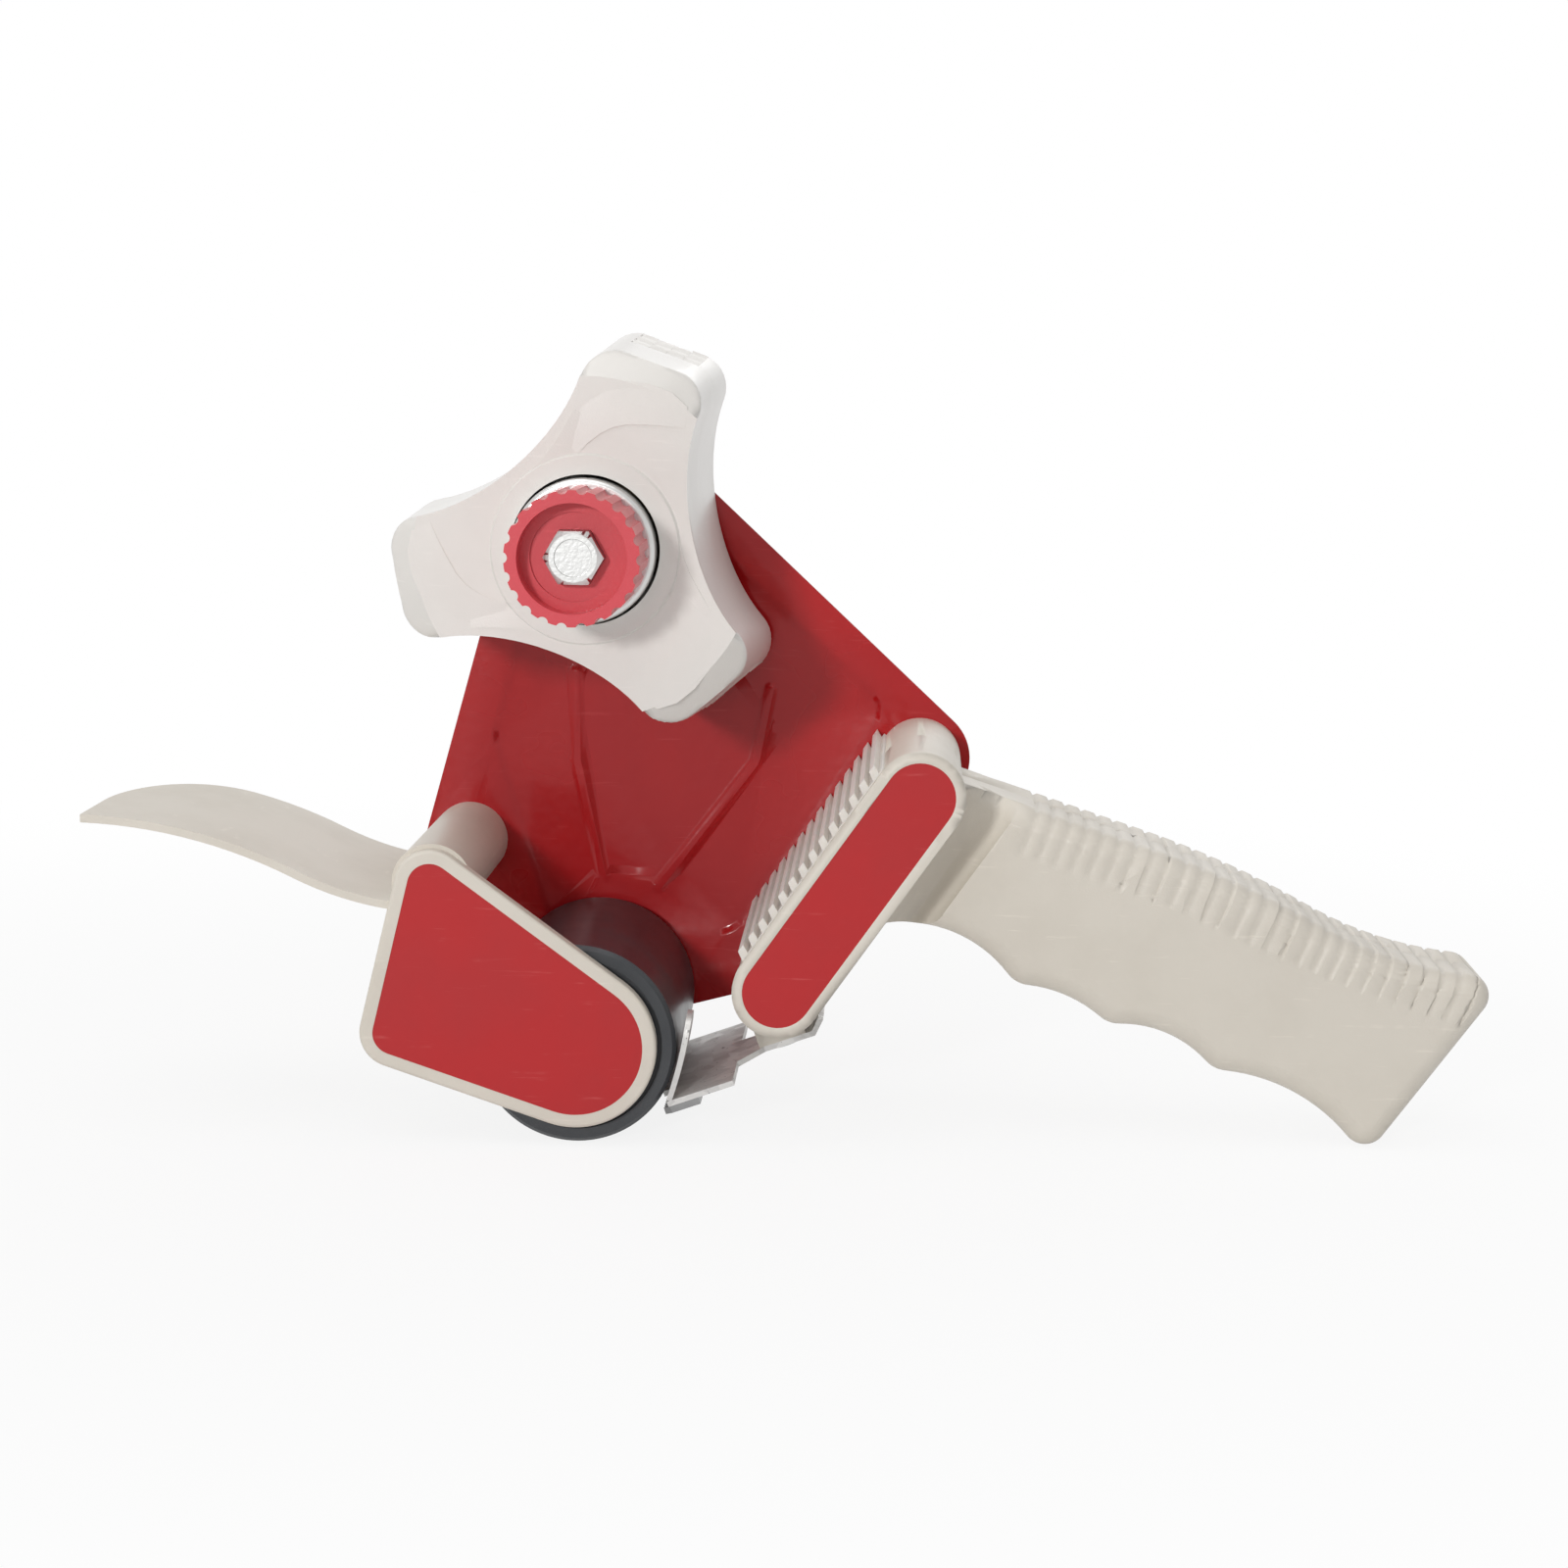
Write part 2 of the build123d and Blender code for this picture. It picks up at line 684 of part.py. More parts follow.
with BuildPart() as guide_plate:
    with BuildSketch(guide_plane.offset(-plate_thickness)):
        with BuildLine():
            Polyline(
                (0, blade_near),
                (prong_setback, blade_near),
                (prong_setback, plate_near),
                (plate_length, plate_near),
                (plate_length, tail_near - tail_flare),
                (plate_length + tail_flare, tail_near),
                (tail_end, tail_near),
                (tail_end, tail_far),
                (plate_length, tail_far),
                (plate_length, plate_far),
                (0, plate_far),
                close=True,
            )
        make_face()
    extrude(amount=plate_thickness)
    with BuildSketch(side(blade_near)):
        with BuildLine():
            ThreePointArc(*prong_line)
            offset(amount=plate_thickness / 2, side=Side.BOTH)
        make_face()
    extrude(amount=prong_width)
    ends = guide_plate.edges().filter_by(lambda edge: abs(edge.length - plate_thickness) < 0.01)
    fillet(ends.sort_by(Axis.Z)[-2:], prong_round)
    with BuildSketch(side(tail_far)):
        with BuildLine():
            Line(*tail_lip)
            offset(amount=plate_thickness / 2, side=Side.BOTH)
        make_face()
    extrude(amount=tail_far - tail_near)
    with BuildSketch(guide_plane.offset(-plate_thickness)):
        with Locations((tail_screw, tail_middle)):
            Circle(screw_radius + screw_clearance)
        with Locations(*rivets):
            Circle(rivet_radius)
    extrude(amount=plate_thickness, mode=Mode.SUBTRACT)
save(guide_plate.part, "guide_plate")

tooth_pitch = blade_length / blade_teeth
with BuildPart() as blade:
    with BuildSketch(guide_plane.offset(blade_below)):
        with Locations((blade_start + (tooth_depth + blade_width) / 2, blade_middle)):
            Rectangle(blade_width - tooth_depth, blade_length)
        for tooth in range(blade_teeth):
            low = blade_near + tooth * tooth_pitch
            with BuildLine():
                Polyline(
                    (blade_start + tooth_depth, low),
                    (blade_start, low + tooth_pitch / 2),
                    (blade_start + tooth_depth, low + tooth_pitch),
                    close=True,
                )
            make_face()
        with Locations(*rivets):
            Circle(rivet_radius, mode=Mode.SUBTRACT)
    extrude(amount=blade_thickness)
save(blade.part, "blade")

with BuildPart() as blade_rivets:
    with BuildSketch(guide_plane.offset(blade_below)):
        with Locations(*rivets):
            Circle(rivet_radius)
    extrude(amount=-blade_below)
    for level, way in ((blade_below, -1), (0, 1)):
        with BuildSketch(guide_plane.offset(level)):
            with Locations(*rivets):
                Circle(rivet_head_radius)
        extrude(amount=way * rivet_head_height, taper=20)
save(blade_rivets.part, "blade_rivets")

# Screws with crossed recesses: through the frame, through the tail and between the handle's halves.
screw_shank = screw_radius - thread_clearance
foot_screw_length = plate_thickness + foot_screw_depth - screw_point_gap

with BuildPart() as frame_screws:
    with BuildSketch(side(frame_outer + screw_head_height)):
        with Locations(*screw_places):
            Circle(screw_head_radius)
    extrude(amount=screw_head_height)
    chamfer(frame_screws.edges().group_by(Axis.Y)[-1], screw_head_chamfer)
    with BuildSketch(side(frame_outer)):
        with Locations(*screw_places):
            Circle(screw_shank)
    extrude(amount=frame_thickness + screw_depth - screw_point_gap)
    with BuildSketch(side(frame_outer + screw_head_height)):
        with Locations(*screw_places):
            Rectangle(recess_arm, recess_width)
            Rectangle(recess_width, recess_arm)
    extrude(amount=recess_depth, mode=Mode.SUBTRACT)
save(frame_screws.part, "frame_screws")

with BuildPart() as handle_screw_set:
    with BuildSketch(side(handle_screw_seat + screw_head_height)):
        with Locations(*handle_screws):
            Circle(screw_head_radius)
    extrude(amount=screw_head_height)
    chamfer(handle_screw_set.edges().group_by(Axis.Y)[-1], screw_head_chamfer)
    with BuildSketch(side(handle_screw_seat)):
        with Locations(*handle_screws):
            Circle(screw_shank)
    extrude(amount=handle_screw_seat + handle_screw_depth - screw_point_gap)
    with BuildSketch(side(handle_screw_seat + screw_head_height)):
        with Locations(*handle_screws):
            Rectangle(recess_arm, recess_width)
            Rectangle(recess_width, recess_arm)
    extrude(amount=recess_depth, mode=Mode.SUBTRACT)
save(handle_screw_set.part, "handle_screws")

with BuildPart() as guide_screw:
    with BuildSketch(guide_plane.offset(-plate_thickness - screw_head_height)):
        with Locations((tail_screw, tail_middle)):
            Circle(screw_head_radius)
    extrude(amount=screw_head_height)
    chamfer(guide_screw.edges().sort_by(Axis.Z)[0], screw_head_chamfer)
    with BuildSketch(guide_plane.offset(-plate_thickness)):
        with Locations((tail_screw, tail_middle)):
            Circle(screw_shank)
    extrude(amount=foot_screw_length)
    with BuildSketch(guide_plane.offset(-plate_thickness - screw_head_height)):
        with Locations((tail_screw, tail_middle)):
            Rectangle(recess_arm, recess_width)
            Rectangle(recess_width, recess_arm)
    extrude(amount=recess_depth, mode=Mode.SUBTRACT)
save(guide_screw.part, "guide_screw")
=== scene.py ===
import json
import math

import bmesh
import bpy
from mathutils import Matrix, Vector
from mathutils.bvhtree import BVHTree


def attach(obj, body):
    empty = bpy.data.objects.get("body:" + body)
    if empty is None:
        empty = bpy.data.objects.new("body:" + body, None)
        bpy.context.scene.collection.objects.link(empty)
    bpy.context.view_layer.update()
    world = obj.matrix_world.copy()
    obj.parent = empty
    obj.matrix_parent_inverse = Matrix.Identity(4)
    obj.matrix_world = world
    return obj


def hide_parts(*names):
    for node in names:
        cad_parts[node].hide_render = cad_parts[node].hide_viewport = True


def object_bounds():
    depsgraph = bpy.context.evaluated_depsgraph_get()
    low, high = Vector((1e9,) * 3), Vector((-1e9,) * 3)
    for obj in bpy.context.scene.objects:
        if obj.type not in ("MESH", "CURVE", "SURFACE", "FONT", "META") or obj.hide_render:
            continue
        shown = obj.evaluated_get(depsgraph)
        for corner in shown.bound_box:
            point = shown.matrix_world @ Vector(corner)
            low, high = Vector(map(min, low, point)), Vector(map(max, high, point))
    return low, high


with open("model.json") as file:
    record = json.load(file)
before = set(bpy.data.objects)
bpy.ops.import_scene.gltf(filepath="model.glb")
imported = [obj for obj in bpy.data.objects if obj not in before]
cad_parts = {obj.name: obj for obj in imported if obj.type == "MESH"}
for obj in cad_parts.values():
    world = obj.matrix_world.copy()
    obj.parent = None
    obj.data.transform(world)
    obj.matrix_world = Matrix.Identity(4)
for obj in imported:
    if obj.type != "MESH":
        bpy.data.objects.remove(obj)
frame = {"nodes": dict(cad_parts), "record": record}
cad_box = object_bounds()
cad = frame["nodes"]
floor_height = cad_box[0][2]


# Camera: the photograph's own view, fitted to the object's sizes.
camera_place = Vector((0.06272, -0.59194, 0.04431))
camera_right = Vector((0.99893, 0.04362, 0.01569))
camera_forward = Vector((-0.04066, 0.98702, -0.15537))
photo_focal = 3000.0
photo_width = 1600.0
sensor_width = 36.0


def make_camera():
    """Camera at the photograph's place, with its turn and its field of view."""
    data = bpy.data.cameras.new("photo_camera")
    data.sensor_fit = "HORIZONTAL"
    data.sensor_width = sensor_width
    data.lens = sensor_width * photo_focal / photo_width
    data.clip_start = 0.01
    data.clip_end = 20.0
    camera = bpy.data.objects.new("photo_camera", data)
    bpy.context.scene.collection.objects.link(camera)
    forward = camera_forward.normalized()
    up = camera_right.cross(forward).normalized()
    right = forward.cross(up).normalized()
    turn = Matrix((right, up, -forward)).transposed().to_4x4()
    camera.matrix_world = Matrix.Translation(camera_place) @ turn
    bpy.context.scene.camera = camera


make_camera()


# Light: a small key lamp from the upper left, soft lamps overhead and behind, and a pale room.
view_middle = Vector((0.03, 0.0, -0.045))
key_way = Vector((-0.35, -1.0, 0.27)).normalized()
key_distance = 1.6
room_light = 0.36


def area_lamp(name, away, size, power):
    """Square area lamp at a place away from the view's middle, turned to face it."""
    data = bpy.data.lights.new(name, "AREA")
    data.shape = "SQUARE"
    data.size = size
    data.energy = power
    lamp = bpy.data.objects.new(name, data)
    bpy.context.scene.collection.objects.link(lamp)
    lamp.location = view_middle + away
    lamp.rotation_euler = (-away).to_track_quat("-Z", "Y").to_euler()


area_lamp("key_lamp", key_way * key_distance, size=0.16, power=8.6)
area_lamp("top_lamp", Vector((-0.15, -0.25, 1.1)), size=1.0, power=4.6)
area_lamp("back_lamp", Vector((0.35, 1.2, 0.7)), size=0.8, power=2.0)


def sum_up(tree, operation, *sources):
    """Result of a maths node that is fed by sockets."""
    node = tree.nodes.new("ShaderNodeMath")
    node.operation = operation
    for index, source in enumerate(sources):
        tree.links.new(source, node.inputs[index])
    return node.outputs[0]


def ramp(tree, source, low, high, least=0.0):
    """Smooth step of a value between low and high, from least to 1."""
    node = tree.nodes.new("ShaderNodeMapRange")
    node.interpolation_type = "SMOOTHSTEP"
    node.inputs["From Min"].default_value = low
    node.inputs["From Max"].default_value = high
    node.inputs["To Min"].default_value = least
    tree.links.new(source, node.inputs["Value"])
    return node.outputs["Result"]


def seen_directly(tree):
    """Socket that is 1 where the camera, a mirror or glass sees the surface."""
    path = tree.nodes.new("ShaderNodeLightPath")
    sight = sum_up(tree, "MAXIMUM", path.outputs["Is Camera Ray"], path.outputs["Is Glossy Ray"])
    return sum_up(tree, "MAXIMUM", sight, path.outputs["Is Transmission Ray"])


def mix_shaders(tree, mask, unseen, seen, out):
    """Lays one shader on an output where a mask is 0 and another where it is 1."""
    mix = tree.nodes.new("ShaderNodeMixShader")
    tree.links.new(mask, mix.inputs["Fac"])
    tree.links.new(unseen.outputs[0], mix.inputs[1])
    tree.links.new(seen.outputs[0], mix.inputs[2])
    tree.links.new(mix.outputs[0], out.inputs["Surface"])


def light_the_room():
    """White room that lights the object softly and shows white behind it."""
    world = bpy.data.worlds.new("pale_room")
    bpy.context.scene.world = world
    world.use_nodes = True
    tree = world.node_tree
    tree.nodes.clear()
    backgrounds = []
    for strength in (room_light, 1.0):
        background = tree.nodes.new("ShaderNodeBackground")
        background.inputs["Color"].default_value = (1, 1, 1, 1)
        background.inputs["Strength"].default_value = strength
        backgrounds.append(background)
    out = tree.nodes.new("ShaderNodeOutputWorld")
    mix_shaders(tree, seen_directly(tree), *backgrounds, out)


light_the_room()


# Floor: near the object it takes a little real light, so that the shadow shows, and far away it is all white.
floor_tone = 0.86
shadow_near, shadow_far = 0.10, 0.45
glow_near_object = 0.86
floor_radius = 6.0
floor_gap = 0.0002


def floor_material():
    """Pale floor: mostly its own white to the camera, so that only the object's shadow darkens it."""
    material = bpy.data.materials.new("pale_floor")
    material.use_nodes = True
    tree = material.node_tree
    tree.nodes.clear()
    matt = tree.nodes.new("ShaderNodeBsdfDiffuse")
    matt.inputs["Color"].default_value = (floor_tone, floor_tone, floor_tone, 1)
    glow = tree.nodes.new("ShaderNodeEmission")
    glow.inputs["Color"].default_value = (1, 1, 1, 1)
    glow.inputs["Strength"].default_value = 1.0
    place = tree.nodes.new("ShaderNodeTexCoord")
    reach = tree.nodes.new("ShaderNodeVectorMath")
    reach.operation = "LENGTH"
    tree.links.new(place.outputs["Object"], reach.inputs[0])
    white = ramp(tree, reach.outputs["Value"], shadow_near, shadow_far, least=glow_near_object)
    share = sum_up(tree, "MULTIPLY", seen_directly(tree), white)
    out = tree.nodes.new("ShaderNodeOutputMaterial")
    mix_shaders(tree, share, matt, glow, out)
    return material


def lay_floor():
    """Round pale floor that the dispenser stands on."""
    bm = bmesh.new()
    bmesh.ops.create_circle(bm, cap_ends=True, radius=floor_radius, segments=96)
    bmesh.ops.translate(bm, verts=bm.verts, vec=(0, 0, floor_height - floor_gap))
    mesh = bpy.data.meshes.new("floor")
    bm.to_mesh(mesh)
    bm.free()
    floor = bpy.data.objects.new("floor", mesh)
    bpy.context.scene.collection.objects.link(floor)
    mesh.materials.append(floor_material())


lay_floor()
bpy.context.scene.view_settings.view_transform = "Standard"


# Shared effects, each a node group that gives a mask or a height over the surface.
def new_group(name, inputs, outputs):
    """Empty shader node group with float inputs (name, default) and named float outputs."""
    group = bpy.data.node_groups.new(name, "ShaderNodeTree")
    for label, value in inputs:
        socket = group.interface.new_socket(label, in_out="INPUT", socket_type="NodeSocketFloat")
        socket.default_value = value
    for label in outputs:
        group.interface.new_socket(label, in_out="OUTPUT", socket_type="NodeSocketFloat")
    start = group.nodes.new("NodeGroupInput")
    end = group.nodes.new("NodeGroupOutput")
    return group, start, end


def feed(tree, value, socket):
    """Gives a socket a number, or a link where the value comes from another socket."""
    if isinstance(value, float):
        socket.default_value = value
    else:
        tree.links.new(value, socket)


def noise(tree, scale, detail=3.0, rough=0.55):
    """Noise texture on object coordinates."""
    place = tree.nodes.new("ShaderNodeTexCoord")
    texture = tree.nodes.new("ShaderNodeTexNoise")
    feed(tree, scale, texture.inputs["Scale"])
    texture.inputs["Detail"].default_value = detail
    texture.inputs["Roughness"].default_value = rough
    tree.links.new(place.outputs["Object"], texture.inputs["Vector"])
    return texture


def stretched_noise(tree, scale, detail, stretch, turn=(0.0, 0.0, 0.0)):
    """Noise texture on object coordinates that are turned and drawn out."""
    place = tree.nodes.new("ShaderNodeTexCoord")
    drawn = tree.nodes.new("ShaderNodeMapping")
    drawn.inputs["Rotation"].default_value = turn
    drawn.inputs["Scale"].default_value = stretch
    texture = tree.nodes.new("ShaderNodeTexNoise")
    feed(tree, scale, texture.inputs["Scale"])
    texture.inputs["Detail"].default_value = detail
    tree.links.new(place.outputs["Object"], drawn.inputs["Vector"])
    tree.links.new(drawn.outputs["Vector"], texture.inputs["Vector"])
    return texture


def make_moulded_skin():
    """Fine spark-eroded texture of moulded plastic, with faint larger flow marks."""
    group, start, end = new_group("moulded_skin", [("Grain", 2600.0), ("Flow", 0.3)], ["Height", "Patches"])
    fine = noise(group, start.outputs["Grain"], 2.0)
    broad = noise(group, 38.0, 4.0, 0.6)
    height = sum_up(group, "MULTIPLY_ADD", broad.outputs["Fac"], start.outputs["Flow"], fine.outputs["Fac"])
    group.links.new(height, end.inputs["Height"])
    group.links.new(ramp(group, broad.outputs["Fac"], 0.35, 0.7), end.inputs["Patches"])
    return group


def make_scuffs():
    """Sparse thin scratches and rubbed spots from handling."""
    group, start, end = new_group("scuffs", [("Density", 0.5)], ["Mask"])
    lines = stretched_noise(group, 90.0, 3.0, stretch=(1.0, 1.0, 14.0), turn=(0.3, 0.5, 0.8))
    spots = noise(group, 160.0, 2.0)
    both = sum_up(group, "MULTIPLY", ramp(group, lines.outputs["Fac"], 0.60, 0.74),
                  ramp(group, spots.outputs["Fac"], 0.45, 0.62))
    group.links.new(sum_up(group, "MULTIPLY", both, start.outputs["Density"]), end.inputs["Mask"])
    return group


def make_orange_peel():
    """Long soft waves of sprayed enamel."""
    group, start, end = new_group("orange_peel", [("Size", 420.0)], ["Height", "Patches"])
    waves = noise(group, start.outputs["Size"], 1.5, 0.4)
    broad = noise(group, 30.0, 3.0)
    group.links.new(waves.outputs["Fac"], end.inputs["Height"])
    group.links.new(ramp(group, broad.outputs["Fac"], 0.3, 0.7), end.inputs["Patches"])
    return group


def make_spangle():
    """Crystal patches of zinc-coated sheet with fine dull grain."""
    group, start, end = new_group("spangle", [("Crystals", 420.0)], ["Patches", "Height"])
    place = group.nodes.new("ShaderNodeTexCoord")
    cells = group.nodes.new("ShaderNodeTexVoronoi")
    group.links.new(place.outputs["Object"], cells.inputs["Vector"])
    group.links.new(start.outputs["Crystals"], cells.inputs["Scale"])
    tone = group.nodes.new("ShaderNodeSeparateColor")
    group.links.new(cells.outputs["Color"], tone.inputs["Color"])
    group.links.new(tone.outputs["Red"], end.inputs["Patches"])
    fine = noise(group, 1800.0, 4.0)
    group.links.new(fine.outputs["Fac"], end.inputs["Height"])
    return group


def make_drawn_lines():
    """Fine lines of drawn metal that run along the hub's axis."""
    group, start, end = new_group("drawn_lines", [("Lines", 900.0)], ["Height"])
    lines = stretched_noise(group, start.outputs["Lines"], 2.0, stretch=(1.0, 0.05, 1.0))
    group.links.new(lines.outputs["Fac"], end.inputs["Height"])
    return group


groups = {
    "skin": make_moulded_skin(),
    "scuffs": make_scuffs(),
    "peel": make_orange_peel(),
    "spangle": make_spangle(),
    "drawn": make_drawn_lines(),
}


# Finishes: one material for each slot.
def effect(tree, key, **values):
    """Places one of the shared effects with its own values."""
    node = tree.nodes.new("ShaderNodeGroup")
    node.node_tree = groups[key]
    for label, value in values.items():
        node.inputs[label].default_value = value
    return node


def mix_colour(tree, mask, low, high):
    """Colour that goes with a mask from low, a colour or another mix, to high."""
    node = tree.nodes.new("ShaderNodeMix")
    node.data_type = "RGBA"
    if isinstance(low, tuple):
        node.inputs["A"].default_value = (*low, 1)
    else:
        tree.links.new(low, node.inputs["A"])
    node.inputs["B"].default_value = (*high, 1)
    tree.links.new(mask, node.inputs["Factor"])
    return node.outputs["Result"]


def span(tree, mask, low, high):
    """Value that goes from low to high with a mask."""
    node = tree.nodes.new("ShaderNodeMapRange")
    node.inputs["To Min"].default_value = low
    node.inputs["To Max"].default_value = high
    tree.links.new(mask, node.inputs["Value"])
    return node.outputs["Result"]


def bump(tree, height, distance, strength=1.0):
    """Bump from a height socket, in metres."""
    node = tree.nodes.new("ShaderNodeBump")
    node.inputs["Distance"].default_value = distance
    node.inputs["Strength"].default_value = strength
    tree.links.new(height, node.inputs["Height"])
    return node.outputs["Normal"]


def new_material(name):
    """Material with a bare Principled shader."""
    material = bpy.data.materials.new(name)
    material.use_nodes = True
    tree = material.node_tree
    return material, tree, tree.nodes["Principled BSDF"]


def link_finish(tree, shader, colour, rough, normal):
    """Gives a shader its colour, its roughness and its fine relief."""
    tree.links.new(colour, shader.inputs["Base Color"])
    tree.links.new(rough, shader.inputs["Roughness"])
    tree.links.new(normal, shader.inputs["Normal"])


rubbed_gain, rubbed_lift = 1.12, 0.02
plastic_rough_span, zinc_rough_span = 0.07, 0.15


def plastic(name, colour, shade, rough, grain=2600.0, depth=0.00003, coat=0.0, scuff=0.5):
    """Moulded plastic: two near tones, a fine skin and faint scuffs that pale it."""
    material, tree, shader = new_material(name)
    skin = effect(tree, "skin", Grain=grain)
    marks = effect(tree, "scuffs", Density=scuff)
    base = mix_colour(tree, skin.outputs["Patches"], colour, shade)
    rubbed = tuple(min(1.0, part * rubbed_gain + rubbed_lift) for part in colour)
    link_finish(tree, shader, mix_colour(tree, marks.outputs["Mask"], base, rubbed),
                span(tree, skin.outputs["Patches"], rough, rough + plastic_rough_span),
                bump(tree, skin.outputs["Height"], depth))
    shader.inputs["Coat Weight"].default_value = coat
    shader.inputs["Coat Roughness"].default_value = 0.12
    return material


def enamel():
    """Deep red sprayed enamel on pressed steel: orange peel, a glossy coat and darker pooled tone."""
    material, tree, shader = new_material("red_enamel")
    peel = effect(tree, "peel", Size=420.0)
    marks = effect(tree, "scuffs", Density=0.35)
    base = mix_colour(tree, peel.outputs["Patches"], (0.46, 0.008, 0.010), (0.40, 0.006, 0.009))
    link_finish(tree, shader, mix_colour(tree, marks.outputs["Mask"], base, (0.55, 0.05, 0.05)),
                span(tree, peel.outputs["Patches"], 0.24, 0.34),
                bump(tree, peel.outputs["Height"], 0.00018, 0.4))
    shader.inputs["Specular IOR Level"].default_value = 0.25
    shader.inputs["Coat Weight"].default_value = 0.25
    shader.inputs["Coat Roughness"].default_value = 0.08
    return material


def label_film():
    """Red film panel: even colour with a fine print grain and a satin surface."""
    material, tree, shader = new_material("red_panel")
    skin = effect(tree, "skin", Grain=5200.0, Flow=0.1)
    marks = effect(tree, "scuffs", Density=0.5)
    base = mix_colour(tree, skin.outputs["Patches"], (0.50, 0.022, 0.025), (0.46, 0.024, 0.027))
    link_finish(tree, shader, mix_colour(tree, marks.outputs["Mask"], base, (0.60, 0.10, 0.10)),
                span(tree, skin.outputs["Patches"], 0.36, 0.45),
                bump(tree, skin.outputs["Height"], 0.000012))
    shader.inputs["Specular IOR Level"].default_value = 0.3
    return material


def rubber():
    """Black roller rubber with a ground surface and a dusty bloom."""
    material, tree, shader = new_material("black_rubber")
    skin = effect(tree, "skin", Grain=3200.0, Flow=0.5)
    link_finish(tree, shader,
                mix_colour(tree, skin.outputs["Patches"], (0.028, 0.031, 0.036), (0.045, 0.048, 0.053)),
                span(tree, skin.outputs["Patches"], 0.28, 0.40),
                bump(tree, skin.outputs["Height"], 0.00004))
    return material


def zinc(name, colour, dark, rough):
    """Bright zinc plate with drawn lines and slightly uneven tone."""
    material, tree, shader = new_material(name)
    lines = effect(tree, "drawn", Lines=1400.0)
    skin = effect(tree, "skin", Grain=1500.0, Flow=1.0)
    link_finish(tree, shader, mix_colour(tree, skin.outputs["Patches"], colour, dark),
                span(tree, skin.outputs["Patches"], rough, rough + zinc_rough_span),
                bump(tree, lines.outputs["Height"], 0.00004))
    shader.inputs["Metallic"].default_value = 1.0
    return material


def galvanised():
    """Dull zinc-coated sheet with spangle and small dark specks."""
    material, tree, shader = new_material("galvanised_sheet")
    sheet = effect(tree, "spangle", Crystals=330.0)
    specks = noise(tree, 900.0, 3.0)
    base = mix_colour(tree, sheet.outputs["Patches"], (0.66, 0.65, 0.63), (0.52, 0.51, 0.50))
    dots = ramp(tree, specks.outputs["Fac"], 0.66, 0.74)
    link_finish(tree, shader, mix_colour(tree, dots, base, (0.12, 0.115, 0.11)),
                span(tree, sheet.outputs["Patches"], 0.38, 0.56),
                bump(tree, sheet.outputs["Height"], 0.00006))
    shader.inputs["Metallic"].default_value = 0.45
    return material


def milky():
    """Milky clear plastic of the toothed strip."""
    material, tree, shader = new_material("clear_plastic")
    skin = effect(tree, "skin", Grain=1800.0, Flow=0.6)
    link_finish(tree, shader,
                mix_colour(tree, skin.outputs["Patches"], (0.84, 0.80, 0.75), (0.78, 0.74, 0.69)),
                span(tree, skin.outputs["Patches"], 0.45, 0.6),
                bump(tree, skin.outputs["Height"], 0.00001))
    shader.inputs["Specular IOR Level"].default_value = 0.2
    shader.inputs["Subsurface Weight"].default_value = 0.4
    shader.inputs["Subsurface Radius"].default_value = (0.9, 0.8, 0.7)
    shader.inputs["Subsurface Scale"].default_value = 0.003
    return material


finishes = {
    "red_enamel": enamel(),
    "red_panel": label_film(),
    "pale_plastic": plastic("pale_plastic", (0.72, 0.67, 0.59), (0.68, 0.63, 0.55), 0.42),
    "white_plastic": plastic("white_plastic", (0.80, 0.77, 0.73), (0.77, 0.74, 0.70), 0.28,
                             coat=0.25, scuff=0.3),
    "red_knob_plastic": plastic("red_knob_plastic", (0.68, 0.055, 0.075), (0.62, 0.05, 0.065), 0.33,
                                coat=0.15),
    "clear_plastic": milky(),
    "black_rubber": rubber(),
    "black_plastic": plastic("black_plastic", (0.030, 0.032, 0.036), (0.040, 0.042, 0.046), 0.45),
    "zinc_steel": zinc("zinc_steel", (0.66, 0.66, 0.65), (0.50, 0.50, 0.49), 0.26),
    "galvanised_sheet": galvanised(),
    "blade_steel": zinc("blade_steel", (0.30, 0.30, 0.30), (0.22, 0.22, 0.22), 0.34),
    "spring_steel": zinc("spring_steel", (0.55, 0.55, 0.55), (0.42, 0.42, 0.42), 0.28),
    "fibre_disc": plastic("fibre_disc", (0.22, 0.16, 0.11), (0.17, 0.12, 0.085), 0.7,
                          grain=1600.0, depth=0.00008),
}


def dress_cad_nodes():
    """Gives each node its finish by the record's slots."""
    for entry in frame["record"]["subparts"]:
        node = cad[entry["node"]]
        finish = finishes[entry["material_slot"]]
        if not node.material_slots:
            node.data.materials.append(finish)
        for holder in node.material_slots:
            holder.material = finish


dress_cad_nodes()


# Shapes: made in millimetres in the side view (x to the butt, z up, y away from the open side).
mm = 0.001
weld_gap, touch_gap = 0.004, 0.0005
tape_near, tape_far = -25.0, 25.0
cheek_inner, frame_inner = -25.2, 26.5
hub_near, hub_far = -24.0, 25.3


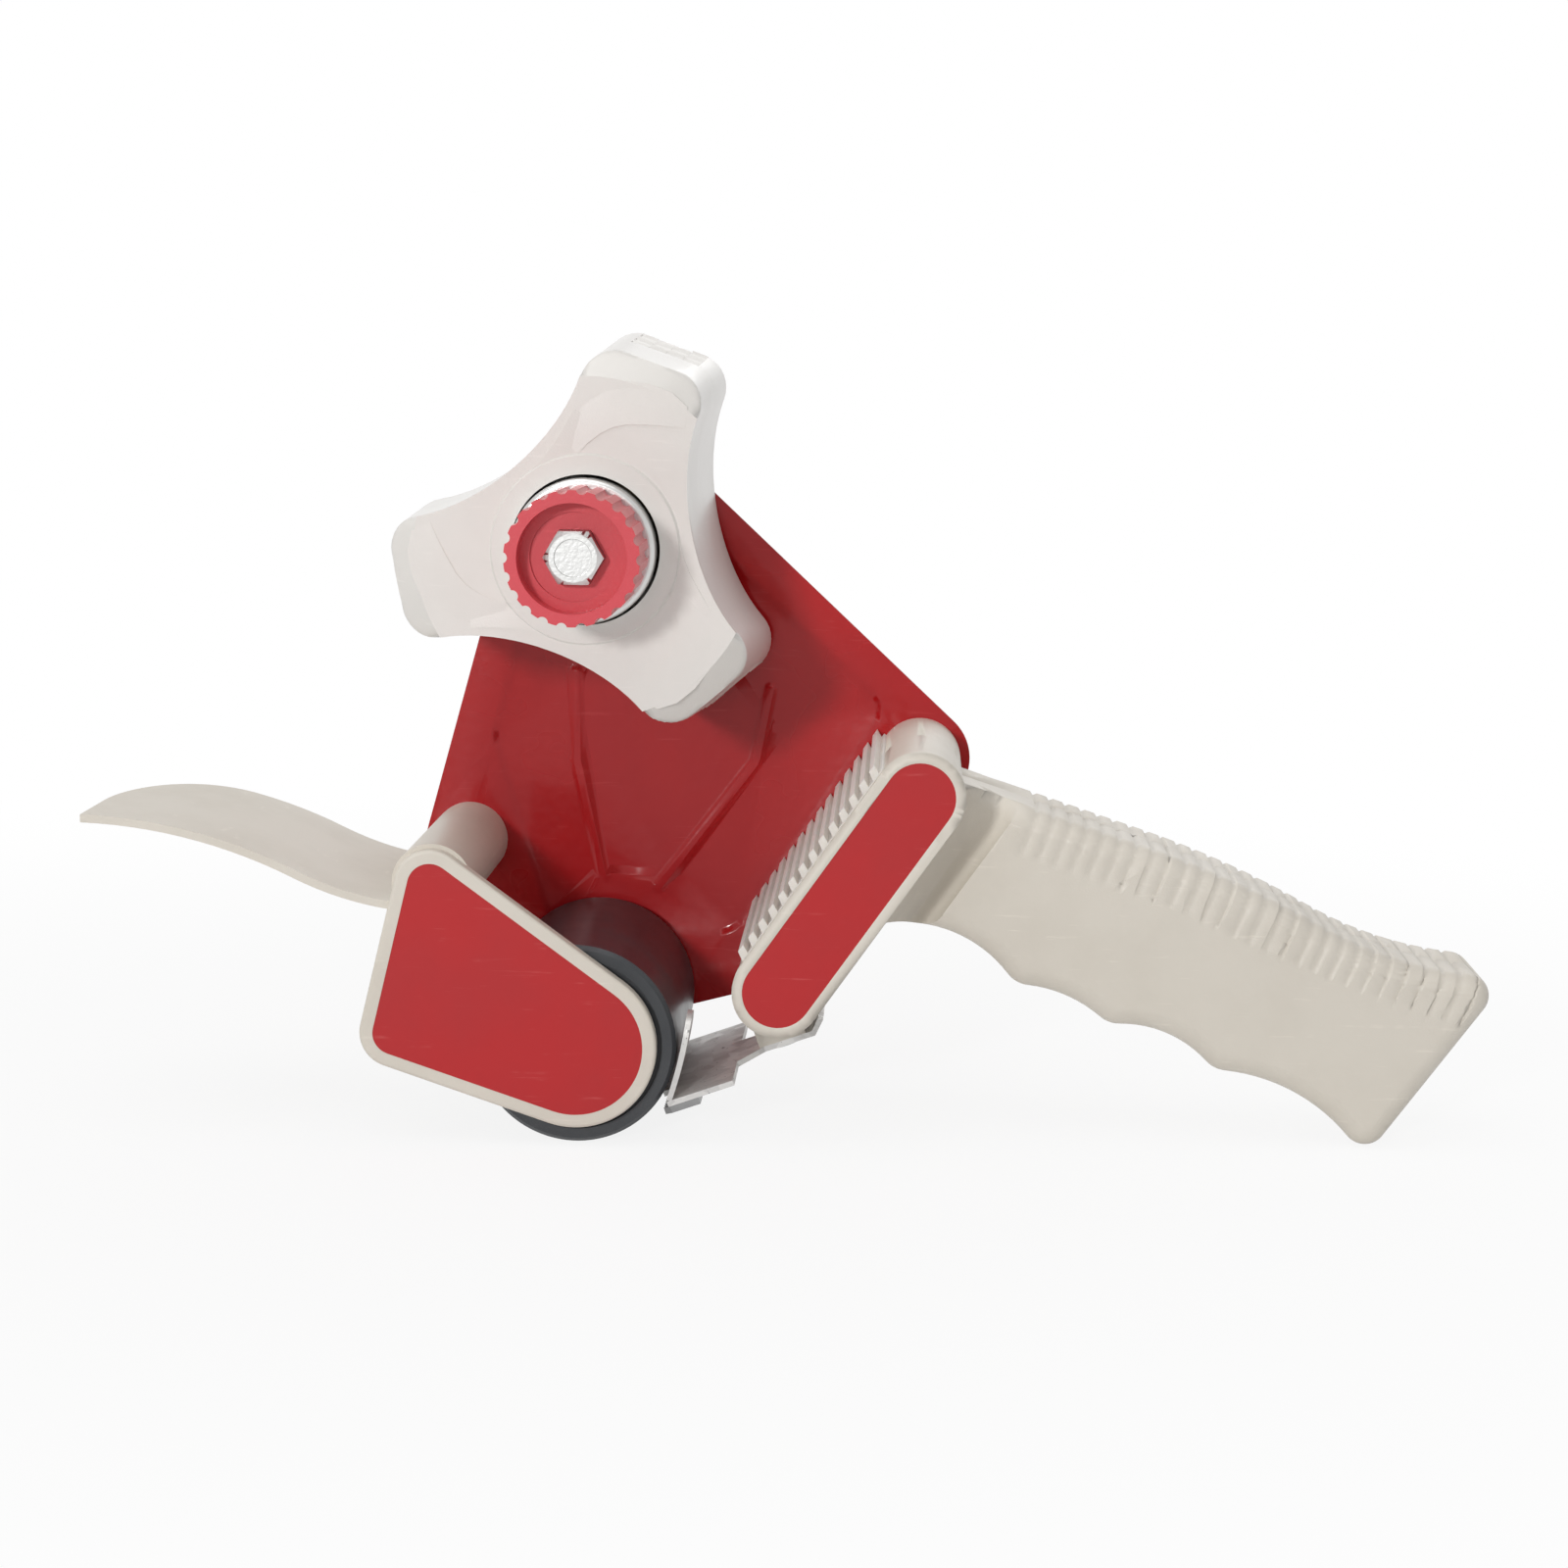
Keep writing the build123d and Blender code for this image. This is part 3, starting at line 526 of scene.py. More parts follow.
def finish_piece(name, bm, body, slot, node, sharp):
    """Turns a bmesh in millimetres into a piece that rides on a body and stands for a CAD node."""
    bmesh.ops.remove_doubles(bm, verts=bm.verts, dist=weld_gap)
    bmesh.ops.dissolve_degenerate(bm, edges=bm.edges, dist=weld_gap)
    bmesh.ops.recalc_face_normals(bm, faces=bm.faces)
    bmesh.ops.scale(bm, vec=(mm, mm, mm), verts=bm.verts)
    mesh = bpy.data.meshes.new(name)
    bm.to_mesh(mesh)
    bm.free()
    mesh.materials.append(finishes[slot])
    mesh.shade_smooth()
    mesh.set_sharp_from_angle(angle=math.radians(sharp))
    piece = bpy.data.objects.new(name, mesh)
    bpy.context.scene.collection.objects.link(piece)
    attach(piece, body)
    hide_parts(node)
    evener = piece.modifiers.new("even_shading", "WEIGHTED_NORMAL")
    evener.keep_sharp = True
    evener.weight = 80


def merged_copy(node):
    """Bmesh in millimetres of a CAD node, with its loose triangles joined at their corners."""
    bm = bmesh.new()
    bm.from_mesh(cad[node].data)
    bmesh.ops.scale(bm, vec=(1 / mm, 1 / mm, 1 / mm), verts=bm.verts)
    bmesh.ops.remove_doubles(bm, verts=bm.verts, dist=touch_gap)
    return bm


def as_object(bm):
    """Plain object from a bmesh, to be joined or cut and then dropped."""
    mesh = bpy.data.meshes.new("workpiece")
    bm.to_mesh(mesh)
    bm.free()
    thing = bpy.data.objects.new("workpiece", mesh)
    bpy.context.scene.collection.objects.link(thing)
    return thing


def combine(bm, tool, how):
    """Joins a tool body to a bmesh, or cuts it away, and returns the result."""
    bmesh.ops.recalc_face_normals(tool, faces=tool.faces)
    body, cutter = as_object(bm), as_object(tool)
    step = body.modifiers.new("combine", "BOOLEAN")
    step.operation = how
    step.solver = "EXACT"
    step.use_self = True
    step.object = cutter
    shaped = body.evaluated_get(bpy.context.evaluated_depsgraph_get())
    result = bmesh.new()
    result.from_mesh(shaped.to_mesh())
    shaped.to_mesh_clear()
    for thing in (body, cutter):
        mesh = thing.data
        bpy.data.objects.remove(thing)
        bpy.data.meshes.remove(mesh)
    return result


def outline(bm, places, depth):
    """Flat face through (x, z) places at a depth."""
    return bm.faces.new([bm.verts.new((x, depth, z)) for x, z in places])


def push(bm, face, way):
    """Extrudes a face along a vector and keeps the body closed."""
    made = bmesh.ops.extrude_face_region(bm, geom=[face], use_keep_orig=True)["geom"]
    moved = [part for part in made if isinstance(part, bmesh.types.BMVert)]
    bmesh.ops.translate(bm, vec=way, verts=moved)


def slice_by(bm, place, normal, **options):
    """Cuts new edges into a body where a plane crosses it."""
    parts = bm.verts[:] + bm.edges[:] + bm.faces[:]
    bmesh.ops.bisect_plane(bm, geom=parts, plane_co=place, plane_no=normal, **options)


def turned(near, far, radius_near, radius_far, place=(0, 0), segments=96):
    """Round body along the hub axis' direction, straight or conical."""
    bm = bmesh.new()
    bmesh.ops.create_cone(bm, cap_ends=True, segments=segments, radius1=radius_far, radius2=radius_near,
                          depth=far - near)
    bmesh.ops.rotate(bm, verts=bm.verts, matrix=Matrix.Rotation(math.radians(90), 3, "X"))
    bmesh.ops.translate(bm, verts=bm.verts, vec=(place[0], (near + far) / 2, place[1]))
    return bm


def pour(target, source):
    """Adds one bmesh to another."""
    mesh = bpy.data.meshes.new("poured")
    source.to_mesh(mesh)
    source.free()
    target.from_mesh(mesh)
    bpy.data.meshes.remove(mesh)


# Hub moulding: three drafted lobes with soft edges, hollow behind, a brake well, barbs and face creases.
lobe_angles = [math.radians(71.0 + 120.0 * turn) for turn in range(3)]
lobe_half, lobe_tip, tip_round, waist_round = 12.0, 38.0, 6.5, 42.0
waist_slope = math.tan(math.radians(60.0))
straight_least, straight_cuts = 5.0, 9
hub_flare = 1.09
rim_round, rim_steps = 1.6, 5
wall_thick, hollow_start = 2.4, hub_near + 6.5
wall_levels = (-21.7, -21.0, -20.3, -19.6, -18.8, -12.0, -4.0, 4.0, 12.0, 19.0, hub_far)
shoulder_radius, shoulder_slope = 33.4, math.tan(math.radians(48.0))


def on_lobe(angle, along, across):
    """(x, z) of a place given along and across a lobe."""
    return (along * math.cos(angle) - across * math.sin(angle),
            along * math.sin(angle) + across * math.cos(angle))


def lobed_face(bm):
    """Flat three-lobed face with round tips and wide concave waists."""
    valley = lobe_half / waist_slope
    places = []
    for angle in lobe_angles:
        places += [on_lobe(angle, valley, -lobe_half), on_lobe(angle, lobe_tip, -lobe_half),
                   on_lobe(angle, lobe_tip, lobe_half)]
    corners = list(outline(bm, places, hub_near + rim_round).verts)
    waists = corners[::3]
    tips = [corner for corner in corners if corner not in waists]
    bmesh.ops.bevel(bm, geom=tips, offset=tip_round, segments=9, profile=0.5, affect="VERTICES",
                    material=-1)
    bmesh.ops.bevel(bm, geom=waists, offset=waist_round / waist_slope, segments=20, profile=0.5,
                    affect="VERTICES", material=-1)
    straights = [edge for edge in bm.edges if edge.calc_length() > straight_least]
    bmesh.ops.subdivide_edges(bm, edges=straights, cuts=straight_cuts)


def round_rim(bm, face):
    """Insets the face step by step along a quarter round, out to the hub's near end."""
    done = 0.0
    for step in range(1, rim_steps + 1):
        lean = math.radians(90.0 * step / rim_steps)
        inward = rim_round * (1 - math.cos(lean))
        bmesh.ops.inset_region(bm, faces=[face], thickness=inward - done, use_even_offset=True)
        done = inward
        level = hub_near + rim_round * (1 - math.sin(lean))
        for corner in face.verts:
            corner.co.y = level


def wall_share(level):
    """Width of the drafted wall at a depth, as a share of its width behind the rim."""
    return 1 + (hub_flare - 1) * (level - hub_near - rim_round) / (hub_far - hub_near - rim_round)


def draw_wall(bm, rim):
    """Draws a ring of edges back to the hub's far end, wider at each level, and returns the last ring."""
    depth = hub_near + rim_round
    for level in wall_levels:
        made = bmesh.ops.extrude_edge_only(bm, edges=rim)["geom"]
        rim = [part for part in made if isinstance(part, bmesh.types.BMEdge)]
        widening = wall_share(level) / wall_share(depth)
        for corner in {end for edge in rim for end in edge.verts}:
            corner.co.x *= widening
            corner.co.z *= widening
            corner.co.y = level
        depth = level
    return rim


def cone_shoulder(bm):
    """Draws the lobes' near ends in to a cone."""
    for corner in bm.verts:
        reach = math.hypot(corner.co.x, corner.co.z)
        allowed = shoulder_radius + shoulder_slope * (corner.co.y - hub_near)
        if reach > allowed:
            corner.co.x *= allowed / reach
            corner.co.z *= allowed / reach


def hollow_back(bm, rim):
    """Closes the back and sinks a hollow into it."""
    back = bmesh.ops.contextual_create(bm, geom=rim)["faces"][0]
    bmesh.ops.inset_region(bm, faces=[back], thickness=wall_thick, use_even_offset=True)
    floor = bmesh.ops.extrude_discrete_faces(bm, faces=[back])["faces"][0]
    for corner in floor.verts:
        corner.co.x /= hub_flare
        corner.co.z /= hub_flare
        corner.co.y = hollow_start


def hub_body():
    """Outer skin and hollow back of the hub."""
    bm = bmesh.new()
    lobed_face(bm)
    rim = list(bm.edges)
    round_rim(bm, bm.faces[:][0])
    rim = draw_wall(bm, rim)
    cone_shoulder(bm)
    hollow_back(bm, rim)
    bmesh.ops.recalc_face_normals(bm, faces=bm.faces)
    return bm


def tip_reach(level):
    """Reach of the lobes' tips at a depth, on the drafted wall."""
    return lobe_tip * (1 + (hub_flare - 1) * (level - hub_near) / (hub_far - hub_near))


def across_lobe(bm, angle, places, across, width):
    """Body over part of a lobe's width from (level, reach) places."""
    ring = []
    for level, reach in places:
        x, z = on_lobe(angle, reach, across - width / 2)
        ring.append(bm.verts.new((x, level, z)))
    x, z = on_lobe(angle, 0.0, width)
    push(bm, bm.faces.new(ring), (x, 0, z))


seat_start, seat_sink, seat_width, seat_over = 2.6, 1.0, 14.4, 2.0
barb_rows, barb_count = (-5.4, -1.8, 1.8, 5.4), 6
barb_pitch, barb_stagger, barb_long, barb_width = 3.4, 1.6, 3.3, 3.5
barb_end_gap, barb_root, barb_foot = 0.5, 1.9, 0.05
crest_high, crest_drop = 0.05, 0.25


def barb_seats():
    """Cutters for the shallow seats in the lobes' tips that the barbs stand in."""
    bm = bmesh.new()
    past_end = hub_far + 1.0
    for angle in lobe_angles:
        places = [(seat_start, tip_reach(seat_start) - seat_sink), (past_end, tip_reach(hub_far) - seat_sink),
                  (past_end, tip_reach(hub_far) + seat_over), (seat_start, tip_reach(seat_start) + seat_over)]
        across_lobe(bm, angle, places, 0.0, seat_width)
    return bm


def barbs():
    """Staggered rows of small saw-like scales on each lobe's tip, towards the frame."""
    bm = bmesh.new()
    for angle in lobe_angles:
        for row, across in enumerate(barb_rows):
            for scale in range(barb_count):
                high = hub_far - barb_end_gap - scale * barb_pitch - (row % 2) * barb_stagger
                low = high - barb_long
                crest = crest_high - crest_drop * ((2 * scale + row) % 3) / 2
                places = [(low, tip_reach(low) - barb_root),
                          (low, tip_reach(low) - seat_sink + barb_foot),
                          (high, tip_reach(high) + crest),
                          (high, tip_reach(high) - barb_root)]
                across_lobe(bm, angle, places, across, barb_width)
    return bm


# Creases of the face: (along, across) places on a lobe, the turn from the lobe and the ramp's width.
outer_crease = [(17.0, 7.4), (19.6, 6.3), (22.2, 4.6), (24.2, 2.6), (25.6, 0.2), (26.9, -3.6), (28.0, -7.4),
                (28.7, -10.4)]
inner_crease = [(17.9, 4.6), (18.5, 1.6), (19.2, -1.2), (20.3, -4.0), (21.7, -6.6), (23.2, -9.2),
                (24.6, -11.6)]
crease_ramps = ((outer_crease, 0.0, 8.5), (inner_crease, -lobe_angles[0], -5.0))
crease_rise, crease_middle_rise, crease_foot, crease_root = 0.26, 0.12, -0.06, -0.5


def crease_ring(bm, line, index, angle, width):
    """Cross-section of a crease's ramp at one place of its line, low at both ends of the line."""
    along, across = line[index]
    before = line[max(index - 1, 0)]
    after = line[min(index + 1, len(line) - 1)]
    run = math.hypot(after[0] - before[0], after[1] - before[1])
    side = ((before[1] - after[1]) / run, (after[0] - before[0]) / run)
    swell = math.sin(math.pi * (index + 0.35) / (len(line) - 0.3)) ** 0.6
    wide = width * (0.25 + 0.75 * swell)
    section = ((0.0, crease_root), (0.0, crease_rise * swell), (wide * 0.5, crease_middle_rise * swell),
               (wide, crease_foot), (wide, crease_root))
    ring = []
    for away, rise in section:
        x, z = on_lobe(angle, along + side[0] * away, across + side[1] * away)
        ring.append(bm.verts.new((x, hub_near - rise, z)))
    return ring


def creases():
    """Low ramps on the face, each with one crisp edge that fades out at both ends."""
    bm = bmesh.new()
    for angle in lobe_angles:
        for line, turn, width in crease_ramps:
            rings = [crease_ring(bm, line, index, angle + turn, width) for index in range(len(line))]
            for ring, following in zip(rings, rings[1:]):
                for corner in range(len(ring)):
                    beside = (corner + 1) % len(ring)
                    bm.faces.new((ring[corner], ring[beside], following[beside], following[corner]))
            bm.faces.new(rings[0])
            bm.faces.new(rings[-1])
    return bm


well_wall_radius, well_wall_end = 17.0, -5.6
well_radius, well_floor = 14.6, -8.0
tube_radius, tube_start, bush_bore = 7.66, -6.8, 5.06
ring_crest_radius, ring_foot_radius, ring_rise = 18.2, 18.9, 0.6
cutter_over = 3.0


def make_hub():
    """The whole hub moulding, in place of the plainer solid."""
    bm = hub_body()
    bm = combine(bm, barb_seats(), "DIFFERENCE")
    bm = combine(bm, barbs(), "UNION")
    bm = combine(bm, turned(hub_near + 1.2, well_wall_end, well_wall_radius, well_wall_radius), "UNION")
    bm = combine(bm, turned(tube_start, hub_far, tube_radius, tube_radius), "UNION")
    bm = combine(bm, turned(hub_near - ring_rise, hub_near + 0.4, ring_crest_radius, ring_foot_radius),
                 "UNION")
    bm = combine(bm, turned(hub_near - cutter_over, well_floor, well_radius, well_radius), "DIFFERENCE")
    bm = combine(bm, turned(hub_near - cutter_over, hub_far + cutter_over, bush_bore, bush_bore, segments=48),
                 "DIFFERENCE")
    pour(bm, creases())
    finish_piece("hub_moulding", bm, "hub", "white_plastic", "core_hub", sharp=38.0)


make_hub()


# Bolt head: chamfered towards its face, with a shallow dimple.
bolt_face_radius, chamfer_run, chamfer_slope = 4.55, 4.0, math.tan(math.radians(60.0))
shank_end, shank_clear_radius = 60.0, 12.0
dimple_rim, dimple_floor, dimple_depth = 3.9, 3.5, 0.35


def make_bolt():
    """The hub bolt with its turned head."""
    bm = merged_copy("hub_bolt")
    front = min(corner.co.y for corner in bm.verts)
    wide_radius = bolt_face_radius + chamfer_run * chamfer_slope
    lathe = turned(front, front + chamfer_run, bolt_face_radius, wide_radius)
    pour(lathe, turned(front + chamfer_run - 0.1, shank_end, shank_clear_radius, shank_clear_radius))
    bm = combine(bm, lathe, "INTERSECT")
    dimple = turned(front - 1.0, front + dimple_depth, dimple_rim, dimple_floor, segments=48)
    bm = combine(bm, dimple, "DIFFERENCE")
    finish_piece("turned_bolt", bm, "knob", "zinc_steel", "hub_bolt", sharp=24.0)


make_bolt()


# Side frame: the CAD sheet with its stiffening ribs pressed as bent, soft-edged lines.
dish_near, dish_far, dish_split = 28.0, 29.2, 28.1
straight_ribs = [
    (Vector((-8.4, -34.0)), Vector((-1.8, -72.0))),
    (Vector((35.5, -42.0)), Vector((15.0, -73.0))),
]
straight_rib_reach = 2.2
bent_ribs = [
    ((-7.5, -30.0), (-7.1, -49.0)), ((-7.1, -49.0), (-1.5, -74.0)),
    ((34.0, -33.0), (31.1, -48.5)), ((31.1, -48.5), (10.6, -76.0)),
]
rib_rise, rib_sink = 0.9, 0.3


def rib_body(run, floor, foot_radius, top_radius):
    """One straight length of a rib, as a hull round two tapered buttons."""
    points = bmesh.new()
    for place in run:
        button = turned(floor - rib_rise, floor + rib_sink, top_radius, foot_radius, place, segments=20)
        pour(points, button)
    made = bmesh.ops.convex_hull(points, input=points.verts)
    inner = made["geom_interior"] + made["geom_unused"]
    spare = {part for part in inner if isinstance(part, bmesh.types.BMVert)}
    bmesh.ops.delete(points, geom=list(spare), context="VERTS")
    skin = {part for part in made["geom"] if isinstance(part, bmesh.types.BMFace)}
    covered = [face for face in points.faces if face not in skin]
    bmesh.ops.delete(points, geom=covered, context="FACES_ONLY")
    return points


def level_straight_ribs(bm):
    """Presses the sheet's straight ribs flat."""
    for corner in bm.verts:
        spot = Vector((corner.co.x, corner.co.z))
        for start, end in straight_ribs:
            way = end - start
            share = min(1.0, max(0.0, (spot - start).dot(way) / way.length_squared))
            if (spot - start - way * share).length < straight_rib_reach:
                corner.co.y = dish_near if corner.co.y < dish_split else dish_far


def make_frame():
    """Pressed side frame with its straight ribs levelled and the bent ones pressed in."""
    bm = merged_copy("side_frame")
    level_straight_ribs(bm)
    for run in bent_ribs:
        bm = combine(bm, rib_body(run, dish_near, 2.2, 0.8), "UNION")
    for run in bent_ribs:
        bm = combine(bm, rib_body(run, dish_far, 1.9, 0.5), "DIFFERENCE")
    finish_piece("pressed_frame", bm, "frame", "red_enamel", "side_frame", sharp=50.0)


make_frame()


# Handle: both halves get the fine grooves that run over the back and a little way down the flanks.
groove_half_width, groove_depth, groove_count = 0.75, 0.6, 28
groove_lean = math.radians(22.0)
groove_way = Vector((math.cos(groove_lean), 0.0, -math.sin(groove_lean)))
groove_up = Vector((math.sin(groove_lean), 0.0, math.cos(groove_lean)))
groove_ends = [Vector((86.0, 0.0, -60.0)), Vector((117.6, 0.0, -70.5)), Vector((137.4, 0.0, -79.8)),
               Vector((174.5, 0.0, -93.0))]
groove_fade = 1.2
flank_start, back_thick = 11.8, 2.6
half_middle, above_handle = 4.0, 40.0
plane_gap = 0.01


def above_lower_line(place):
    """Height of a place above the line where the grooves end, in the side view."""
    for start, end in zip(groove_ends, groove_ends[1:]):
        if place.x < end.x or end == groove_ends[-1]:
            share = (place.x - start.x) / (end.x - start.x)
            return place.z - (start.z + (end.z - start.z) * share)


def slice_grooves(bm, middles):
    """Cuts edges along the grooves' lower ends, and along the middle and both sides of every groove."""
    for start, end in zip(groove_ends, groove_ends[1:]):
        slope = (end - start).normalized()
        for lift in (0.0, groove_fade):
            slice_by(bm, start + Vector((0, 0, lift)), Vector((-slope.z, 0.0, slope.x)), dist=touch_gap)
    for middle in middles:
        for aside in (-groove_half_width, 0.0, groove_half_width):
            slice_by(bm, groove_way * (middle + aside), groove_way, dist=touch_gap)


def grooved_half(node):
    """Copy of a handle half with its back cut at every groove and pressed in along each groove's middle."""
    bm = merged_copy(node)
    skin = BVHTree.FromBMesh(bm)
    inside = -half_middle if node == "handle_near_half" else half_middle
    run = (groove_ends[-1] - groove_ends[0]).dot(groove_way)
    first = groove_ends[0].dot(groove_way)
    middles = [first + run * groove / (groove_count - 1) for groove in range(groove_count)]
    slice_grooves(bm, middles)
    bm.normal_update()
    moves = []
    for corner in bm.verts:
        along = corner.co.dot(groove_way)
        height = above_lower_line(corner.co)
        if height <= plane_gap or min(abs(along - middle) for middle in middles) > plane_gap:
            continue
        above = Vector((corner.co.x, inside, corner.co.z)) + groove_up * above_handle
        hit = skin.ray_cast(above, -groove_up)[0]
        deep = hit is None or (hit - corner.co).dot(groove_up) > back_thick
        if deep and abs(corner.co.y) < flank_start:
            continue
        way = corner.normal.copy()
        if abs(corner.co.y) < plane_gap:
            way.y = 0.0
        moves.append((corner, way.normalized() * -groove_depth * min(1.0, height / groove_fade)))
    for corner, move in moves:
        corner.co += move
    return bm


def make_handle():
    """Both halves of the handle with the grooved back."""
    for node, name in (("handle_near_half", "grooved_near_half"), ("handle_far_half", "grooved_far_half")):
        finish_piece(name, grooved_half(node), "frame", "pale_plastic", node, sharp=80.0)


make_handle()


# Comb: a strip along the rear cheek whose teeth point away from the handle.
rear_top, rear_bottom = Vector((66.0, -46.8)), Vector((38.8, -86.2))
rear_way = (rear_bottom - rear_top).normalized()
rear_run = (rear_bottom - rear_top).length
comb_teeth, comb_pitch = 14, 3.4
comb_back, comb_root, comb_tip = -8.6, -9.2, -10.9
comb_tooth = ((0.9, comb_root), (0.1, comb_tip), (1.8, comb_tip), (2.8, comb_root))
comb_gap = 0.05


def on_rear(along, across):
    """(x, z) of a place along the rear cheek and across it, towards the handle."""
    return tuple(rear_top + rear_way * along + Vector((-rear_way.y, rear_way.x)) * across)


def make_comb():
    """Milky strip with fourteen leaning teeth that keep the tape's end."""
    bm = bmesh.new()
    long = comb_teeth * comb_pitch
    first = (rear_run - long) / 2
    places = [on_rear(first + long, comb_back), on_rear(first, comb_back), on_rear(first, comb_root)]
    for tooth in range(comb_teeth):
        start = first + tooth * comb_pitch
        places += [on_rear(start + along, across) for along, across in comb_tooth]
    face = outline(bm, places, cheek_inner + comb_gap)
    push(bm, face, (0, frame_inner - cheek_inner - 2 * comb_gap, 0))
    finish_piece("toothed_comb", bm, "frame", "clear_plastic", "comb_strip", sharp=20.0)


make_comb()


# Cutter: plate, prong, tail and blade in the plate's own slope.
plate_turn = Matrix.Rotation(math.radians(-20.0), 3, "Y")
plate_start = Vector((15.4, 0.0, -110.1))
plate_long, tail_long, plate_thick = 15.6, 16.0, 1.1
tail_near, tail_far, tail_slant = -4.5, 8.5, 5.5
tail_end = plate_long + tail_long
lip_section = [(-0.4, 0.0), (-0.4, -plate_thick), (0.3, -plate_thick), (2.9, 1.5), (2.1, 2.3), (-0.1, 0.0)]
prong_far, prong_high, prong_round, prong_notch = -15.0, 17.8, 4.6, 1.7
prong_slices, prong_slice_gap = 11, 1.5
prong_foot, prong_bend, prong_tip = Vector((17.4, -109.3)), Vector((19.8, -100.5)), Vector((21.2, -92.0))


def on_plate(bm):
    """Tilts a bmesh made flat on the plate's top into the plate's place."""
    bmesh.ops.rotate(bm, verts=bm.verts, matrix=plate_turn)
    bmesh.ops.translate(bm, verts=bm.verts, vec=plate_start)
    return bm


def flat_body(places, low, high):
    """Flat body of a sheet from (along, across) places, between two levels."""
    bm = bmesh.new()
    face = bm.faces.new([bm.verts.new((along, across, low)) for along, across in places])
    push(bm, face, (0, 0, high - low))
    return bm


def tail_lip():
    """Short lip that turns up at the tail's end."""
    bm = bmesh.new()
    face = bm.faces.new([bm.verts.new((tail_end + along, tail_near, level)) for along, level in lip_section])
    push(bm, face, (0, tail_far - tail_near, 0))
    return bm


def prong():
    """Leaf-shaped prong that bends upright behind the roller."""
    bm = bmesh.new()
    corners = ((tape_near, 0.0), (prong_far, 0.0), (prong_far, prong_high), (tape_near, prong_high))
    leaf = outline(bm, corners, 0.0)
    upper = [corner for corner in leaf.verts if corner.co.z > 1.0]
    bmesh.ops.bevel(bm, geom=upper, offset=prong_round, segments=8, profile=0.5, affect="VERTICES",
                    material=-1)
    for level in range(1, prong_slices + 1):
        slice_by(bm, (0, 0, level * prong_slice_gap), (0, 0, 1))
    bmesh.ops.solidify(bm, geom=bm.faces[:], thickness=plate_thick)
    for corner in bm.verts:
        across, thick, height = corner.co
        share = height / prong_high
        spot = (prong_foot * (1 - share) * (1 - 2 * share) + prong_bend * 4 * share * (1 - share)
                + prong_tip * share * (2 * share - 1))
        way = (prong_foot * (4 * share - 3) + prong_bend * (4 - 8 * share)
               + prong_tip * (4 * share - 1)).normalized()
        offset = thick - plate_thick / 2
        corner.co = (spot.x + way.y * offset, across, spot.y - way.x * offset)
    return bm


def make_guide_sheet():
    """Guide plate with its prong, its tail and the tail's lip."""
    places = [(0, prong_far), (prong_notch, prong_far), (prong_notch, tape_near), (plate_long, tape_near),
              (plate_long, tail_near - tail_slant), (plate_long + tail_slant, tail_near),
              (tail_end, tail_near), (tail_end, tail_far), (plate_long, tail_far), (plate_long, tape_far),
              (0, tape_far)]
    bm = on_plate(flat_body(places, -plate_thick, 0.0))
    bm = combine(bm, on_plate(tail_lip()), "UNION")
    bm = combine(bm, prong(), "UNION")
    finish_piece("guide_sheet", bm, "frame", "galvanised_sheet", "guide_plate", sharp=28.0)


blade_teeth, blade_start, tooth_depth, blade_width, blade_thick = 32, 0.6, 1.4, 7.4, 1.4
blade_gap = 0.001
rivet_along, rivet_across, rivet_radius, rivet_flatness = 5.2, 17.0, 2.4, 0.4
screw_along, screw_seat, screw_face, screw_head = tail_long * 0.6, 3.8, 3.3, 0.9
recess_long, recess_wide, recess_high = 4.2, 1.0, 1.2


